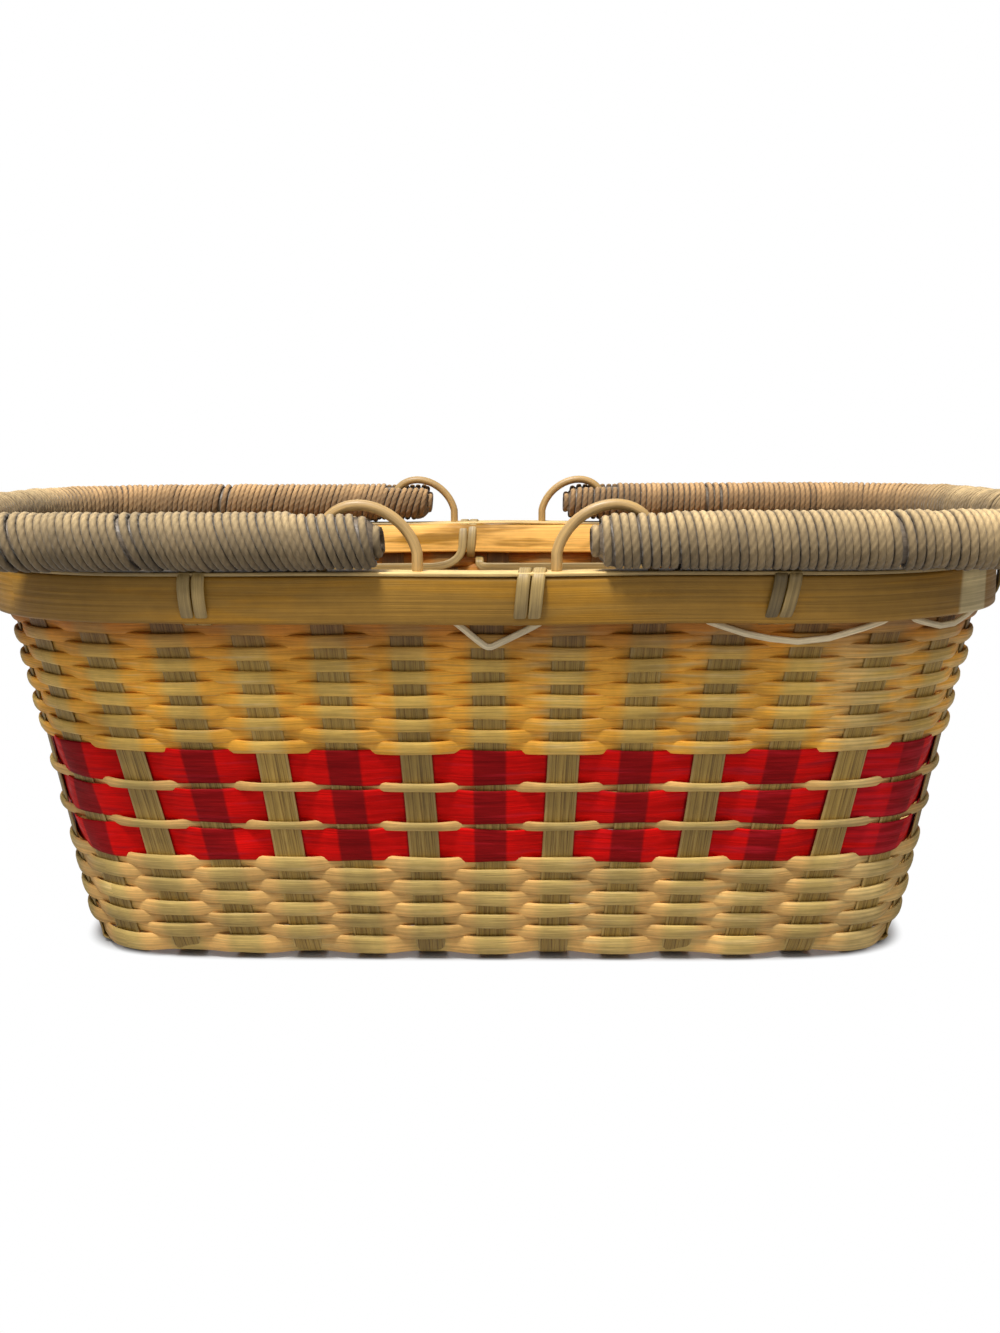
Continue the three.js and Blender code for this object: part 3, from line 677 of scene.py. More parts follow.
def splint(name, over, between, wear_and_light, across, strength, roughness, shine, blur):
    """A woven splint: one colour where a stake backs it and a brighter one between, which is painted light
    shining through the splint from inside; stretches of wear, more of them to the right as a painted side
    light; and fibres.

    Across counts the fibres in a metre of its width, strength scales its changes of tone, and blur is the
    distance over which the two colours meet.
    """
    if name in bpy.data.materials:
        return bpy.data.materials[name]
    material, nodes, shader, uv = surface(name)
    half = sizes().wall.stake_width / 2
    from_stake = nodes.mark("from_stake")
    backed = nodes.group(stake_backing(), From_stake=from_stake, Half_width=half, Blur=blur)["Backed"]
    grain = nodes.group(fibre_grain(), Vector=uv, Along=22.0, Across=across)
    aged = nodes.group(aged_tone(), Strength=strength)["Tone"]
    tone = nodes.product(aged, nodes.ramp(grain["Streak"], 0.0, 1.0, 0.78, 1.18), nodes.mark("tone"))
    # Painted light through the splint: the brighter colour between the stakes, the darker one where a stake
    # blocks it.
    base = nodes.mix(backed, opaque(between), opaque(over))
    stretches = nodes.noise(nodes.stretch(uv, 26.0, 260.0), 1.0, 3.0)
    # Stretches of wear at random, with more of them to the right: that part is a painted light that makes the
    # right side paler.
    wear_and_right_light = nodes.math("ADD", stretches, nodes.ramp(nodes.place()["X"], 0.0, 0.2, -0.02, 0.12))
    base = nodes.mix(nodes.ramp(wear_and_right_light, 0.5, 0.72, 0.0, 0.7), base, opaque(wear_and_light))
    # Painted shade of the band, darkest at its lower edge.
    shade = nodes.group(painted_rim_shade(), Edge=sizes().weave.last_top)["Share"]
    base = nodes.mix(shade, base, opaque(sizes().colours.painted_rim_shade), "MULTIPLY")
    nodes.feed(shader, "Base Color", shaded(nodes, base, tone))
    nodes.feed(shader, "Roughness", nodes.ramp(grain["Streak"], 0.0, 1.0, roughness + 0.12, roughness))
    shader.inputs["Specular IOR Level"].default_value = shine
    raised(nodes, shader, grain["Height"], 0.0004)
    return material


def stake_bamboo():
    """Flat bamboo: olive tan with fine dark and pale lines along it."""
    if "Stake bamboo" in bpy.data.materials:
        return bpy.data.materials["Stake bamboo"]
    material, nodes, shader, uv = surface("Stake bamboo")
    colours = sizes().colours
    grain = nodes.group(fibre_grain(), Vector=uv, Along=16.0, Across=1500.0)
    wide = nodes.noise(nodes.stretch(uv, 5.0, 420.0), 1.0, 2.0)
    aged = nodes.group(aged_tone(), Strength=0.35)["Tone"]
    lines = nodes.ramp(grain["Streak"], 0.05, 0.55)
    base = nodes.mix(lines, opaque(colours.stake_line), opaque(colours.stake))
    base = nodes.mix(nodes.ramp(grain["Streak"], 0.72, 1.0, 0.0, 0.55), base, opaque(colours.stake_light))
    base = nodes.mix(nodes.ramp(nodes.mark("edge"), 0.2, 0.6, 0.0, 0.6), base, opaque(colours.stake_light))
    # Painted shade of the band, darkest at its lower edge.
    shade = nodes.group(painted_rim_shade(), Edge=sizes().weave.last_top)["Share"]
    base = nodes.mix(shade, base, opaque(colours.painted_rim_shade), "MULTIPLY")
    tone = nodes.product(aged, nodes.ramp(wide, 0.3, 0.7, 0.82, 1.15), nodes.mark("tone"))
    nodes.feed(shader, "Base Color", shaded(nodes, base, tone))
    nodes.feed(shader, "Roughness", nodes.ramp(grain["Streak"], 0.0, 1.0, 0.62, 0.48))
    raised(nodes, shader, grain["Height"], 0.0005)
    return material


def rim_bamboo(name, skin_colour, patch_colour):
    """A wide bamboo band: long level fibres and amber stretches, with little shine."""
    if name in bpy.data.materials:
        return bpy.data.materials[name]
    material, nodes, shader, uv = surface(name)
    grain = nodes.group(fibre_grain(), Vector=uv, Along=7.0, Across=700.0)
    stretches = nodes.noise(nodes.stretch(uv, 16.0, 110.0), 1.0, 3.0)
    aged = nodes.group(aged_tone(), Strength=0.32)["Tone"]
    base = nodes.mix(nodes.ramp(stretches, 0.48, 0.66), opaque(skin_colour), opaque(patch_colour))
    lap = nodes.math("SUBTRACT", nodes.mark("tone"), 1.0)
    base = nodes.mix(nodes.ramp(lap, 0.2, 0.7), base, opaque(sizes().colours.rim_lap))
    tone = nodes.product(aged, nodes.ramp(grain["Streak"], 0.0, 1.0, 0.80, 1.16))
    nodes.feed(shader, "Base Color", shaded(nodes, base, tone))
    nodes.feed(shader, "Roughness", nodes.ramp(grain["Streak"], 0.0, 1.0, 0.55, 0.38))
    shader.inputs["Specular IOR Level"].default_value = 0.25
    raised(nodes, shader, grain["Height"], 0.0003)
    return material


def bare_cane(name, base_colour, across, coat):
    """Peeled cane or pith: fibres along it, paler and darker stretches and a slight shine."""
    if name in bpy.data.materials:
        return bpy.data.materials[name]
    material, nodes, shader, uv = surface(name)
    grain = nodes.group(fibre_grain(), Vector=uv, Along=18.0, Across=across)
    aged = nodes.group(aged_tone(), Strength=0.4)["Tone"]
    tone = nodes.product(aged, nodes.ramp(grain["Streak"], 0.0, 1.0, 0.74, 1.2), nodes.mark("tone"))
    nodes.feed(shader, "Base Color", shaded(nodes, tuple(base_colour), tone))
    nodes.feed(shader, "Roughness", nodes.ramp(grain["Streak"], 0.0, 1.0, 0.6, 0.42))
    shader.inputs["Coat Weight"].default_value = coat
    shader.inputs["Coat Roughness"].default_value = 0.32
    raised(nodes, shader, grain["Height"], 0.0003)
    return material


def wound_cord():
    """Twisted cord: slanting strands by the UV map with a painted shade along them, a painted shade towards
    the core, and paler on its outer side by wear and by a painted light on the handle's top.
    """
    if "Wound cord" in bpy.data.materials:
        return bpy.data.materials["Wound cord"]
    material, nodes, shader, uv = surface("Wound cord")
    colours = sizes().colours
    cord = sizes().handle.cord
    parts = nodes.split(uv)
    strands = nodes.weigh(parts["X"], TURN / (cord * 1.15), parts["Y"], TURN / (cord * 1.05))
    twist = nodes.math("ADD", nodes.product(nodes.math("SINE", strands), 0.5), 0.5)
    fluff = nodes.noise(nodes.stretch(uv, 700.0, 2200.0), 1.0, 3.0)
    aged = nodes.group(aged_tone(), Strength=0.5)["Tone"]
    outward = nodes.mark("outward")
    # Painted shade: darker where the cord faces the core, in the furrows.
    base = nodes.mix(nodes.ramp(outward, -0.3, 0.7), opaque(colours.cord_furrow_shade), opaque(colours.cord))
    # Paler on the outer side of the cord near the handle's top: wear, and a painted top light.
    wear_and_light = nodes.product(nodes.ramp(outward, 0.5, 1.0), nodes.mark("wear_and_light"))
    base = nodes.mix(wear_and_light, base, opaque(colours.cord_pale))
    base = nodes.mix(nodes.ramp(nodes.place()["Y"], 0.06, 0.12), base, opaque(colours.cord_far), "MULTIPLY")
    # Painted shade of the twisted strands, beside their bump.
    strand_shade, fibre = nodes.ramp(twist, 0.0, 0.8, 0.9, 1.04), nodes.ramp(fluff, 0.25, 0.75, 0.85, 1.12)
    tone = nodes.product(aged, strand_shade, fibre, nodes.mark("tone"))
    nodes.feed(shader, "Base Color", shaded(nodes, base, tone))
    shader.inputs["Roughness"].default_value = 0.82
    shader.inputs["Sheen Weight"].default_value = 0.15
    raised(nodes, shader, nodes.weigh(twist, 0.7, fluff, 0.3), 0.0002)
    return material


def core_cane():
    """The cane core where it shows between turns and at the ends: dark, with fibres."""
    return bare_cane("Handle core", sizes().colours.core, 500.0, 0.0)


def stake_legs(leg, random):
    """One leg of a stake from the rim down to its bend: its points and its side vectors.

    It follows the wall straight down and wavers sideways by a slow sine with a random start.
    """
    wall = sizes().wall
    top = wall.rim_height - wall.stake_step
    height = np.linspace(top, wall.base_level + wall.stake_bend, 9)
    pitch = np.linalg.norm(wall_middle(leg + 1, top) - wall_middle(leg, top))
    drift = wall.twist * np.sin(TURN * (height / top + random.uniform())) / pitch
    return wall_middle(leg + drift, height), wall_tangent(leg, height)


def stake(name, first_leg, last_leg, base_points, base_side, random):
    """A flat stake: down one leg, over the base and up the other, with rounded corners and a lens section."""
    wall = sizes().wall
    down, down_side = stake_legs(first_leg, random)
    up, up_side = stake_legs(last_leg, random)
    path = np.concatenate([down, base_points, up[::-1]])
    sides = np.concatenate([down_side, np.tile(base_side, (len(base_points), 1)), -up_side[::-1]])
    both = cut_corners(np.concatenate([path, sides], -1), 3)
    section = lens(12, 0.45)
    points = sweep(both[:, :3], unit(both[:, 3:]), section * [wall.stake_width / 2, wall.stake_thickness / 2])
    marks = {"tone": random.uniform(*STAKE_TONES), "edge": section[:, 0] ** 8}
    piece = skin(f"{name}_strip", points, marks=marks)
    return fit(piece, "basket", "bamboo_stake", stake_bamboo(), name)


def cross_stake(index, random):
    """A stake across the width: from its bend at the front straight over the base to its bend at the back."""
    wall = sizes().wall
    last = leg_count() - wall.long_stakes - 1 - index
    front, back = wall_middle(index, wall.base_level), wall_middle(last, wall.base_level)
    inset = np.array([0, wall.stake_bend, 0])
    flat = np.linspace(front + inset, back - inset, 6)
    return stake(f"cross_stake_{index + 1}", index, last, flat, np.array([1.0, 0, 0]), random)


def long_stake(index, random):
    """A stake along the length: over one cross stake and under the next, level for a stretch at each."""
    wall = sizes().wall
    first = wall.cross_stakes + index
    last = leg_count() - 1 - index
    crossing = np.arange(wall.cross_stakes)[::-1]
    middle = wall_middle(crossing, wall.base_level)
    over = np.where((crossing + index) % 2 == 0, -1, 1) * wall.stake_step
    ahead, behind = middle.copy(), middle.copy()
    ahead[:, 0] += wall.crossing_reach
    behind[:, 0] -= wall.crossing_reach
    flat = np.stack([ahead, behind], 1).reshape(-1, 3)
    flat[:, 1] = wall_middle(first, wall.base_level)[1]
    flat[:, 2] = wall.base_level + np.repeat(over, 2)
    ends = wall_middle(np.array([first, last]), wall.base_level)
    ends[:, 0] -= np.array([1, -1]) * wall.stake_bend
    path = np.concatenate([ends[:1], flat, ends[1:]])
    return stake(f"long_stake_{index + 1}", first, last, path, np.array([0, 1.0, 0]), random)


def weave_rows():
    """Name, kind, lower edge and height of every row from the base up."""
    weave = sizes().weave
    rows = [("lower_weaver", weave.lower_height)] * weave.lower_rows
    rows += ([("red_weaver", weave.red_height), ("thin_weaver", weave.thin_height)] * weave.red_rows)[:-1]
    used = sum(height + weave.row_gap for _, height in rows)
    room = weave.last_top + weave.row_gap - weave.first_bottom - used
    rows += [("upper_weaver", room / weave.upper_rows - weave.row_gap)] * weave.upper_rows
    heights = np.array([height for _, height in rows])
    bottoms = weave.first_bottom + np.cumsum(heights + weave.row_gap) - heights - weave.row_gap
    kinds = [kind for kind, _ in rows]
    thin = np.array([kind == "thin_weaver" for kind in kinds])
    heights = heights - weave.thin_trim * thin
    bottoms = bottoms + weave.thin_trim / 2 * thin
    heights[-1] += weave.tuck
    heights[0] += weave.foot
    bottoms[0] -= weave.foot
    names = [f"{kind}_{kinds[:place + 1].count(kind)}" for place, kind in enumerate(kinds)]
    return list(zip(names, kinds, bottoms, heights))


def weaver(row, name, bottom, height, overlap, bulge, crown, material, slot, shared, random):
    """One splint woven round the basket.

    It stands off the wall by the reach times 1.5 c - 0.5 c cubed, where c is the cosine of half a turn per
    stake, so that it lies flat over a stake and slants between two. Slow sines move it up and down, a little
    in and out, and tip it where it slants. Its section is a lens, and its height grows by the bulge times c.
    """
    weave = sizes().weave
    legs = leg_count()
    leg = np.arange(legs * weave.steps) / weave.steps
    wave = np.cos(math.pi * (leg + row))
    out = weave.reach * (1.5 * wave - 0.5 * wave ** 3)
    out = out + weave.swell * waver(leg, random, 3, 26) * np.abs(wave)
    middle = bottom + height / 2 + weave.wander * (0.7 * shared + 0.5 * waver(leg, random, 2, 24))
    tall = (height + overlap + bulge * wave) * (1.0 + weave.height_waver * waver(leg, random, 2, 30))
    tip = weave.lean * np.sin(math.pi * (leg + row)) * waver(leg, random, 2, 20)
    section = lens(12, 0.88)
    rise = section[:, 0] * tall[:, None] / 2
    thick = section[:, 1] * crown / 2
    lift = rise * np.cos(tip)[:, None] - thick * np.sin(tip)[:, None]
    stand = out[:, None] + rise * np.sin(tip)[:, None] + thick * np.cos(tip)[:, None]
    points = wall_point(leg[:, None], middle[:, None] + lift, stand)
    stations = wall_middle(np.arange(legs + 1), bottom)
    pitch = np.linalg.norm(np.diff(stations, axis=0), axis=-1)[np.floor(leg).astype(int)]
    from_stake = np.abs(leg - np.round(leg)) * pitch
    tone = 1.0 + weave.tone_spread * random.uniform(-1, 1)
    tone = tone * (1.0 + weave.tone_waver * waver(leg, random, 4, 40))
    marks = {"from_stake": from_stake[:, None], "tone": tone[:, None]}
    return fit(skin(f"{name}_splint", points, closed=True, marks=marks), "basket", slot, material, name)


def lapped(past, along):
    """Tone of the outer band: more than one on the bare end where it laps, and one elsewhere."""
    rim = sizes().rim
    return np.where((past > rim.lap_start) & (past < rim.lap_end), LAP_TONE, 1.0)[:, None]


def plain(past, along):
    """The same tone everywhere."""
    return np.ones_like(along)


def handle_shaded(past, along):
    """Tone of the filler: one between the hinges, and darker where the handles lie over it, a painted shadow
    of the handles.
    """
    handle, handle_shade = sizes().handle, sizes().rim.filler_handle_shade
    edges = [handle.hinge_x - handle.dome, handle.hinge_x + handle.radius]
    return np.interp(np.abs(along), edges, [1.0, handle_shade])


def hoop(name, node, inner, outer, bottom, top, rounding, tilt, toned, material, slot, random):
    """A band round the rim: a box section with rounded edges carried round the wall, a little uneven.

    Its outer face leans in towards the top by the tilt times the height above its middle. The function toned
    gives its tone from the legs past the middle of the front and the distance along X.
    """
    rim = sizes().rim
    leg = np.arange(leg_count() * rim.steps) / rim.steps
    section = rounded_box((outer - inner) / 2, (top - bottom) / 2, rounding, 4)
    height = (top + bottom) / 2 + section[:, 1] + rim.waver * waver(leg, random, 2, 14)[:, None]
    leaning = np.where(section[:, 0] > 0, tilt * section[:, 1], 0)
    out = (inner + outer) / 2 + section[:, 0] - leaning + np.zeros_like(height)
    points = wall_point(leg[:, None], height, out)
    marks = {"tone": toned(leg - front_middle(), points[:, :1, 0])}
    return fit(skin(name, points, closed=True, marks=marks), "basket", slot, material, node)


def lashing_path():
    """The lashing cane's line, side vectors and tone, spot after spot round the basket.

    At each spot it comes up from its run inside, goes under the rim, up the outer band, over the filler and
    down the inner band, moving on by its width in each turn, and after its turns it runs on inside.
    """
    rim, wall = sizes().rim, sizes().wall
    middle, legs = front_middle(), leg_count()
    spots = np.concatenate([middle + side * legs / 4 + np.array(at) for side, at in enumerate(LASHING_SPOTS)])
    half = rim.band_slot + rim.band_thickness + rim.clearance + rim.lashing_thickness / 2
    under = rim.band_top - rim.outer_height - rim.clearance - rim.lashing_thickness / 2
    over = rim.band_top + rim.filler_gap + rim.filler_height + rim.clearance + rim.lashing_thickness / 2
    run = under - rim.lashing_drop
    step = rim.lashing_width + rim.lashing_gap
    below = step * half / (2 * half + over - under)
    face = step / 2 - below
    pitch = np.linalg.norm(wall_middle(middle + 1, wall.rim_height) - wall_middle(middle, wall.rim_height))
    turn_way = np.array([0, below, below + face, step - face])
    tilt = rim.band_tilt * rim.outer_height / 2
    turn_out = np.array([-half, half + tilt, half, -half])
    turn_height = np.array([under, under, over, over])
    ways = (np.arange(rim.lashing_turns)[:, None] * step + turn_way).ravel()
    ways = np.concatenate([[0], ways, [rim.lashing_turns * step]])
    outs = np.concatenate([[-half], np.tile(turn_out, rim.lashing_turns), [-half]])
    heights = np.concatenate([[run], np.tile(turn_height, rim.lashing_turns), [run]])
    random = np.random.default_rng(sizes().weave.seed + 3)
    line, sides, tones = [], [], []
    for place, spot in enumerate(spots):
        hand = 1 if place % 2 == 0 else -1
        leg = spot + 0.5 + (ways - ways.mean()) / pitch
        across = hand * wall_tangent(leg, heights)
        line.append(wall_point(leg, heights, outs))
        sides.append(across)
        turns = random.uniform(*LASHING_TONES, rim.lashing_turns)
        if place < len(FRONT_TURNS):
            turns = np.resize(FRONT_TURNS[place], rim.lashing_turns)
        tones.append(np.concatenate([turns[:1], np.repeat(turns, len(turn_way)), turns[-1:]]))
        last = spots[place + 1] if place + 1 < len(spots) else spot
        passed = np.arange(spot + 2, last + 1)
        line.append(wall_point(passed, run, -half).reshape(-1, 3))
        sides.append(np.tile([0, 0, float(hand)], (len(passed), 1)))
        tones.append(np.full(len(passed), turns[-1]))
    return np.concatenate(line), np.concatenate(sides), np.concatenate(tones)[:, None]


def outer_run(points):
    """A thin length of cane that hangs below the outer band, through points by leg and drop."""
    rim = sizes().rim
    leg, drop = cut_corners(np.array(points), 1).T
    path = wall_point(front_middle() + leg, rim.band_top - rim.outer_height - drop * MM, rim.run_out)
    section = lens(8, 0.7) * [rim.run_width / 2, rim.run_width / 4]
    return sweep(path, np.tile([0, 0, 1.0], (len(path), 1)), section)


def loop_line():
    """A left hinge loop's line about its axis: a foot, a half circle that leans by a sine, and a foot."""
    handle = sizes().handle
    around = np.linspace(0, math.pi, 25)
    arch = np.stack([np.cos(around), 0 * around, np.sin(around)], -1) * handle.loop_radius
    arch[:, 0] -= handle.loop_lean * np.sin(around)
    foot = np.linspace(-handle.loop_foot, 0, 6, endpoint=False)
    rising = np.stack([np.full_like(foot, handle.loop_radius), 0 * foot, foot], -1)
    falling = rising[::-1] * [-1, 1, 1]
    return np.concatenate([rising, arch, falling])


def handle_length():
    """Length of a handle's line from one hinge axis to the other: two legs, two quarter bends and the end."""
    handle = sizes().handle
    leg = handle.end_x - handle.bend - handle.hinge_x
    return 2 * leg + math.pi * handle.bend + 2 * (handle.leg_y + handle.outset - handle.bend)


def handle_line(station):
    """Points of the left handle's middle line by the distance from its front axis, and its outward vectors.

    Half of it is a straight leg towards -X, a quarter circle and a straight end; the rest mirrors it.
    """
    handle = sizes().handle
    leg = handle.end_x - handle.bend - handle.hinge_x
    near = np.minimum(station, handle_length() - station)
    mirror = np.where(station > handle_length() / 2, -1.0, 1.0)
    turned = np.clip((near - leg) / handle.bend, 0, math.pi / 2)
    x = -np.minimum(near, leg) - handle.bend * np.sin(turned)
    beyond = np.maximum(near - leg - handle.bend * math.pi / 2, 0)
    y = -(handle.leg_y + handle.outset - handle.bend + handle.bend * np.cos(turned)) + beyond
    rise = np.full_like(x, handle.hinge_drop)
    outward = np.stack([-np.sin(turned), -np.cos(turned) * mirror, np.zeros_like(x)], -1)
    return np.stack([x, y * mirror, rise], -1), outward


def round_handle(station, around, radius):
    """Points at an angle and a radius round the handle's line: 0 is outwards and a quarter turn is up."""
    middle, outward = handle_line(station)
    up = np.array([0, 0, 1.0])
    return middle + outward * (radius * np.cos(around))[..., None] + up * (radius * np.sin(around))[..., None]


def on_basket(points, side):
    """Points of the left handle moved to its place, or turned half round for the right one."""
    handle = sizes().handle
    way = np.array([1, 1, 1]) if side == "left" else np.array([-1, -1, 1])
    return points * way + np.array([-way[0] * handle.hinge_x, 0, handle.axis_z])


def along_handle(station):
    """Direction of the handle's line at each station: its outward vector turned a quarter."""
    outward = handle_line(station)[1]
    return np.stack([outward[..., 1], -outward[..., 0], np.zeros(outward.shape[:-1])], -1)


def cord_lean(station, side):
    """How far the cord leans along the handle: most at its two ends, by a squared cosine of the way along."""
    handle = sizes().handle
    most = handle.lean if side == "left" else handle.right_lean
    return most * (0.25 + 0.75 * np.cos(math.pi * station / handle_length()) ** 2)


def cord_tone(station, around, side):
    """Tone of the cord: it changes over the left handle's bow, and falls by a cube of the sine underneath, a
    painted shade where it lies on the rim.
    """
    handle = sizes().handle
    first = handle.left_tone if side == "left" else 1.0
    along = np.interp(station / handle_length(), [handle.tone_from, handle.tone_to], [first, 1.0])
    under = np.clip(-np.sin(around), 0, 1) ** 3
    return along * (1 - handle.underside_shade * under)


def cord_wear_and_top_light(around):
    """How pale the cord is by its angle round the handle, by wear and by a painted light on its top: a share
    of the sine, from the side to the top.
    """
    return 0.1 + 0.9 * np.clip((np.sin(around) - 0.35) / 0.5, 0, 1)


def end_shrink(station):
    """Share of the full radius near a handle's end: the root of one less a share of the way out, squared."""
    handle = sizes().handle
    way_out = np.clip(1 - (station + handle.dome) / handle.end_round, 0, 1)
    return np.sqrt(1 - 0.96 * way_out ** 2)


def bare_radius():
    """Radius of a handle's core, which the cord is pressed into by a quarter of its thickness."""
    return sizes().handle.radius - 0.75 * sizes().handle.cord


def cord_section():
    """The cord's section, a slightly flat circle, and how far each of its corners faces out."""
    handle = sizes().handle
    circle = lens(8, 0.9)
    return circle * [handle.pitch * 0.52, handle.cord / 2], -circle[:, 1]


def winding(side, random):
    """The cord wound round a whole handle between its two heads.

    It is a helix from below: the angle grows by a turn per pitch, the turns' widths vary, a few stand apart,
    and a sine of the angle leans every turn along the handle.
    """
    handle = sizes().handle
    start = handle.slot_length + handle.pitch / 2
    room = handle_length() - 2 * start
    turns = int(room / handle.pitch)
    width = 1.0 + handle.turn_spread * random.normal(size=turns)
    choice = np.arange(handle.close_turns, turns - handle.close_turns)
    width[random.choice(choice, handle.open_turns, replace=False)] += handle.open_width
    passed = np.concatenate([[0], np.cumsum(width)]) / width.sum() * room
    whole = np.arange(turns + 1)
    turned = np.arange(turns * handle.steps + 1) / handle.steps
    around = turned * TURN - math.pi / 2
    station = start + np.interp(turned, whole, passed)
    station = station + cord_lean(station, side) * np.sin(around)
    lift = np.interp(turned, whole, random.normal(size=turns + 1)) * handle.turn_lift
    path = round_handle(station, around, handle.radius - handle.cord / 2 + lift)
    section, outward = cord_section()
    points = sweep(path, along_handle(station), section)
    tone = np.interp(turned, whole, random.uniform(*WINDING_TONES, turns + 1))
    tone = tone * cord_tone(station, around, side)
    marks = {"outward": outward, "tone": tone[:, None], "wear_and_light": cord_wear_and_top_light(around)[:, None]}
    piece = skin(f"{side}_handle_winding", on_basket(points, side), marks=marks)
    nodes = [f"{side}_handle_wrap_front", f"{side}_handle_wrap_back"]
    return fit(piece, f"{side}_handle", "cord", wound_cord(), *nodes)


def head_turns(side, random):
    """The cord on the handle's two heads, in half turns on each cheek, so that the loop's slot stays open.

    A half turn is an arc round the head that dips in at both ends; the arcs get smaller over the domed end.
    """
    handle = sizes().handle
    first = -handle.dome + handle.cord / 3
    turns = int((handle.slot_length - first) / handle.pitch) + 1
    station = first + np.arange(turns) * (handle.slot_length - first) / (turns - 1)
    wound = handle.radius - handle.cord / 2
    share = np.linspace(-1, 1, 17)
    radius = wound * end_shrink(station)[:, None] * (1 - 0.04 * share ** 8)
    upright = np.clip((station + handle.dome) / handle.end_round, 0, 1)[:, None]
    section, outward = cord_section()
    heads, wear_and_light, tones = [], [], []
    for far_end in (False, True):
        for cheek, outset in ((0.0, -handle.outset), (math.pi, handle.outset)):
            edge = math.acos((handle.slot_half + outset + handle.cord / 2) / wound)
            around = np.broadcast_to(cheek + share * edge, (turns, len(share)))
            at = handle_length() - station[:, None] if far_end else station[:, None]
            at = at + upright * cord_lean(at, side) * np.sin(around)
            at = at + handle.head_waver * random.normal(size=(turns, 1))
            heads.append(sweep(round_handle(at, around, radius), along_handle(at), section))
            wear_and_light.append(cord_wear_and_top_light(around))
            tones.append(random.uniform(*HEAD_TONES, (turns, 1)) * cord_tone(at, around, side))
    points = on_basket(np.concatenate(heads), side)
    marks = {
        "outward": outward,
        "tone": np.concatenate(tones)[..., None],
        "wear_and_light": np.concatenate(wear_and_light)[..., None],
    }
    piece = skin(f"{side}_handle_head_turns", points, marks=marks)
    return fit(piece, f"{side}_handle", "cord", wound_cord())


def handle_core(side):
    """The cane inside a handle: a round tube along its line between the two heads."""
    handle = sizes().handle
    station = np.linspace(handle.slot_length - MM, handle_length() - handle.slot_length + MM, 120)[:, None]
    around = np.broadcast_to(full_turn(16), (len(station), 16))
    points = round_handle(station, around, bare_radius())
    piece = skin(f"{side}_handle_core", on_basket(points, side))
    return fit(piece, f"{side}_handle", "cord", core_cane(), f"{side}_handle_cane")


def handle_cheeks(side):
    """The two cheeks of each head: a round section cut off flat at the slot, shrinking over the domed end."""
    handle = sizes().handle
    station = np.linspace(-handle.dome * 0.97, handle.slot_length, 30)
    least = 1.05 * (handle.slot_half + handle.outset)
    radius = np.maximum(bare_radius() * end_shrink(station), least)[:, None]
    share = np.linspace(-1, 1, 11)
    outer = np.arccos((handle.slot_half - handle.outset) / radius) * share
    inner = math.pi - np.arccos((handle.slot_half + handle.outset) / radius) * share
    cheeks = []
    for far_end in (False, True):
        at = np.broadcast_to(station[:, None], outer.shape)
        at = handle_length() - at if far_end else at
        cheeks += [round_handle(at, outer, radius), round_handle(at, inner, radius)]
    piece = skin(f"{side}_handle_cheeks", on_basket(np.stack(cheeks), side))
    return fit(piece, f"{side}_handle", "cord", core_cane())


def handle_hubs(side):
    """The plug between the cheeks of each head: a short round bar across the slot, inside the loop."""
    handle = sizes().handle
    reach = handle.slot_half + handle.cord / 2
    around = full_turn(20)
    across = np.linspace(-reach, reach, 3)
    x = -handle.hub_radius + handle.dome * 0.8 + handle.hub_radius * np.cos(around)
    z = handle.hinge_drop / 2 + handle.hub_radius * np.sin(around)
    bars = []
    for leg_y in (-handle.leg_y, handle.leg_y):
        y = leg_y + across[:, None] + 0 * around
        bars.append(np.stack([np.broadcast_to(x, y.shape), y, np.broadcast_to(z, y.shape)], -1))
    piece = skin(f"{side}_handle_hubs", on_basket(np.stack(bars), side))
    return fit(piece, f"{side}_handle", "cord", core_cane())


class BASKET_OT_stakes(bpy.types.Operator):
    """Stands the flat stakes in the wall and crosses them on the base"""

    bl_idname = "basket.stakes"
    bl_label = "Stakes"

    def execute(self, context):
        wall = sizes().wall
        random = np.random.default_rng(sizes().weave.seed)
        for index in range(wall.cross_stakes):
            cross_stake(index, random)
        for index in range(wall.long_stakes):
            long_stake(index, random)
        return {"FINISHED"}


class BASKET_OT_weavers(bpy.types.Operator):
    """Weaves the natural and the red splints through the stakes"""

    bl_idname = "basket.weavers"
    bl_label = "Weavers"

    def execute(self, context):
        weave, colours = sizes().weave, sizes().colours
        natural = {"wear_and_light": colours.natural_worn, "across": 900.0, "shine": 0.3, "blur": 0.0045}
        upper = splint("Upper splint", colours.upper_over, colours.upper_between,
                       strength=0.5, roughness=0.5, **natural)
        lower = splint("Lower splint", colours.lower_over, colours.lower_between,
                       strength=0.42, roughness=0.52, **natural)
        red = splint("Red splint", colours.red_over, colours.red_between, colours.red_worn,
                     across=500.0, strength=0.25, roughness=0.45, shine=0.05, blur=0.001)
        make = {
            "lower_weaver": (weave.overlap, weave.lower_bulge, weave.thickness, lower, "natural_splint"),
            "thin_weaver": (weave.thin_overlap, weave.upper_bulge, weave.thickness, lower, "natural_splint"),
            "upper_weaver": (weave.overlap, weave.upper_bulge, weave.thickness, upper, "natural_splint"),
            "red_weaver": (weave.red_overlap, weave.upper_bulge, weave.red_thickness, red, "red_splint"),
        }
        random = np.random.default_rng(weave.seed + 1)
        leg = np.arange(leg_count() * weave.steps) / weave.steps
        shared = waver(leg, random, 2, 18)
        for row, (name, kind, bottom, height) in enumerate(weave_rows()):
            shared = 0.6 * shared + 0.5 * waver(leg, random, 2, 18)
            weaver(row, name, bottom, height, *make[kind], shared, random)
        return {"FINISHED"}


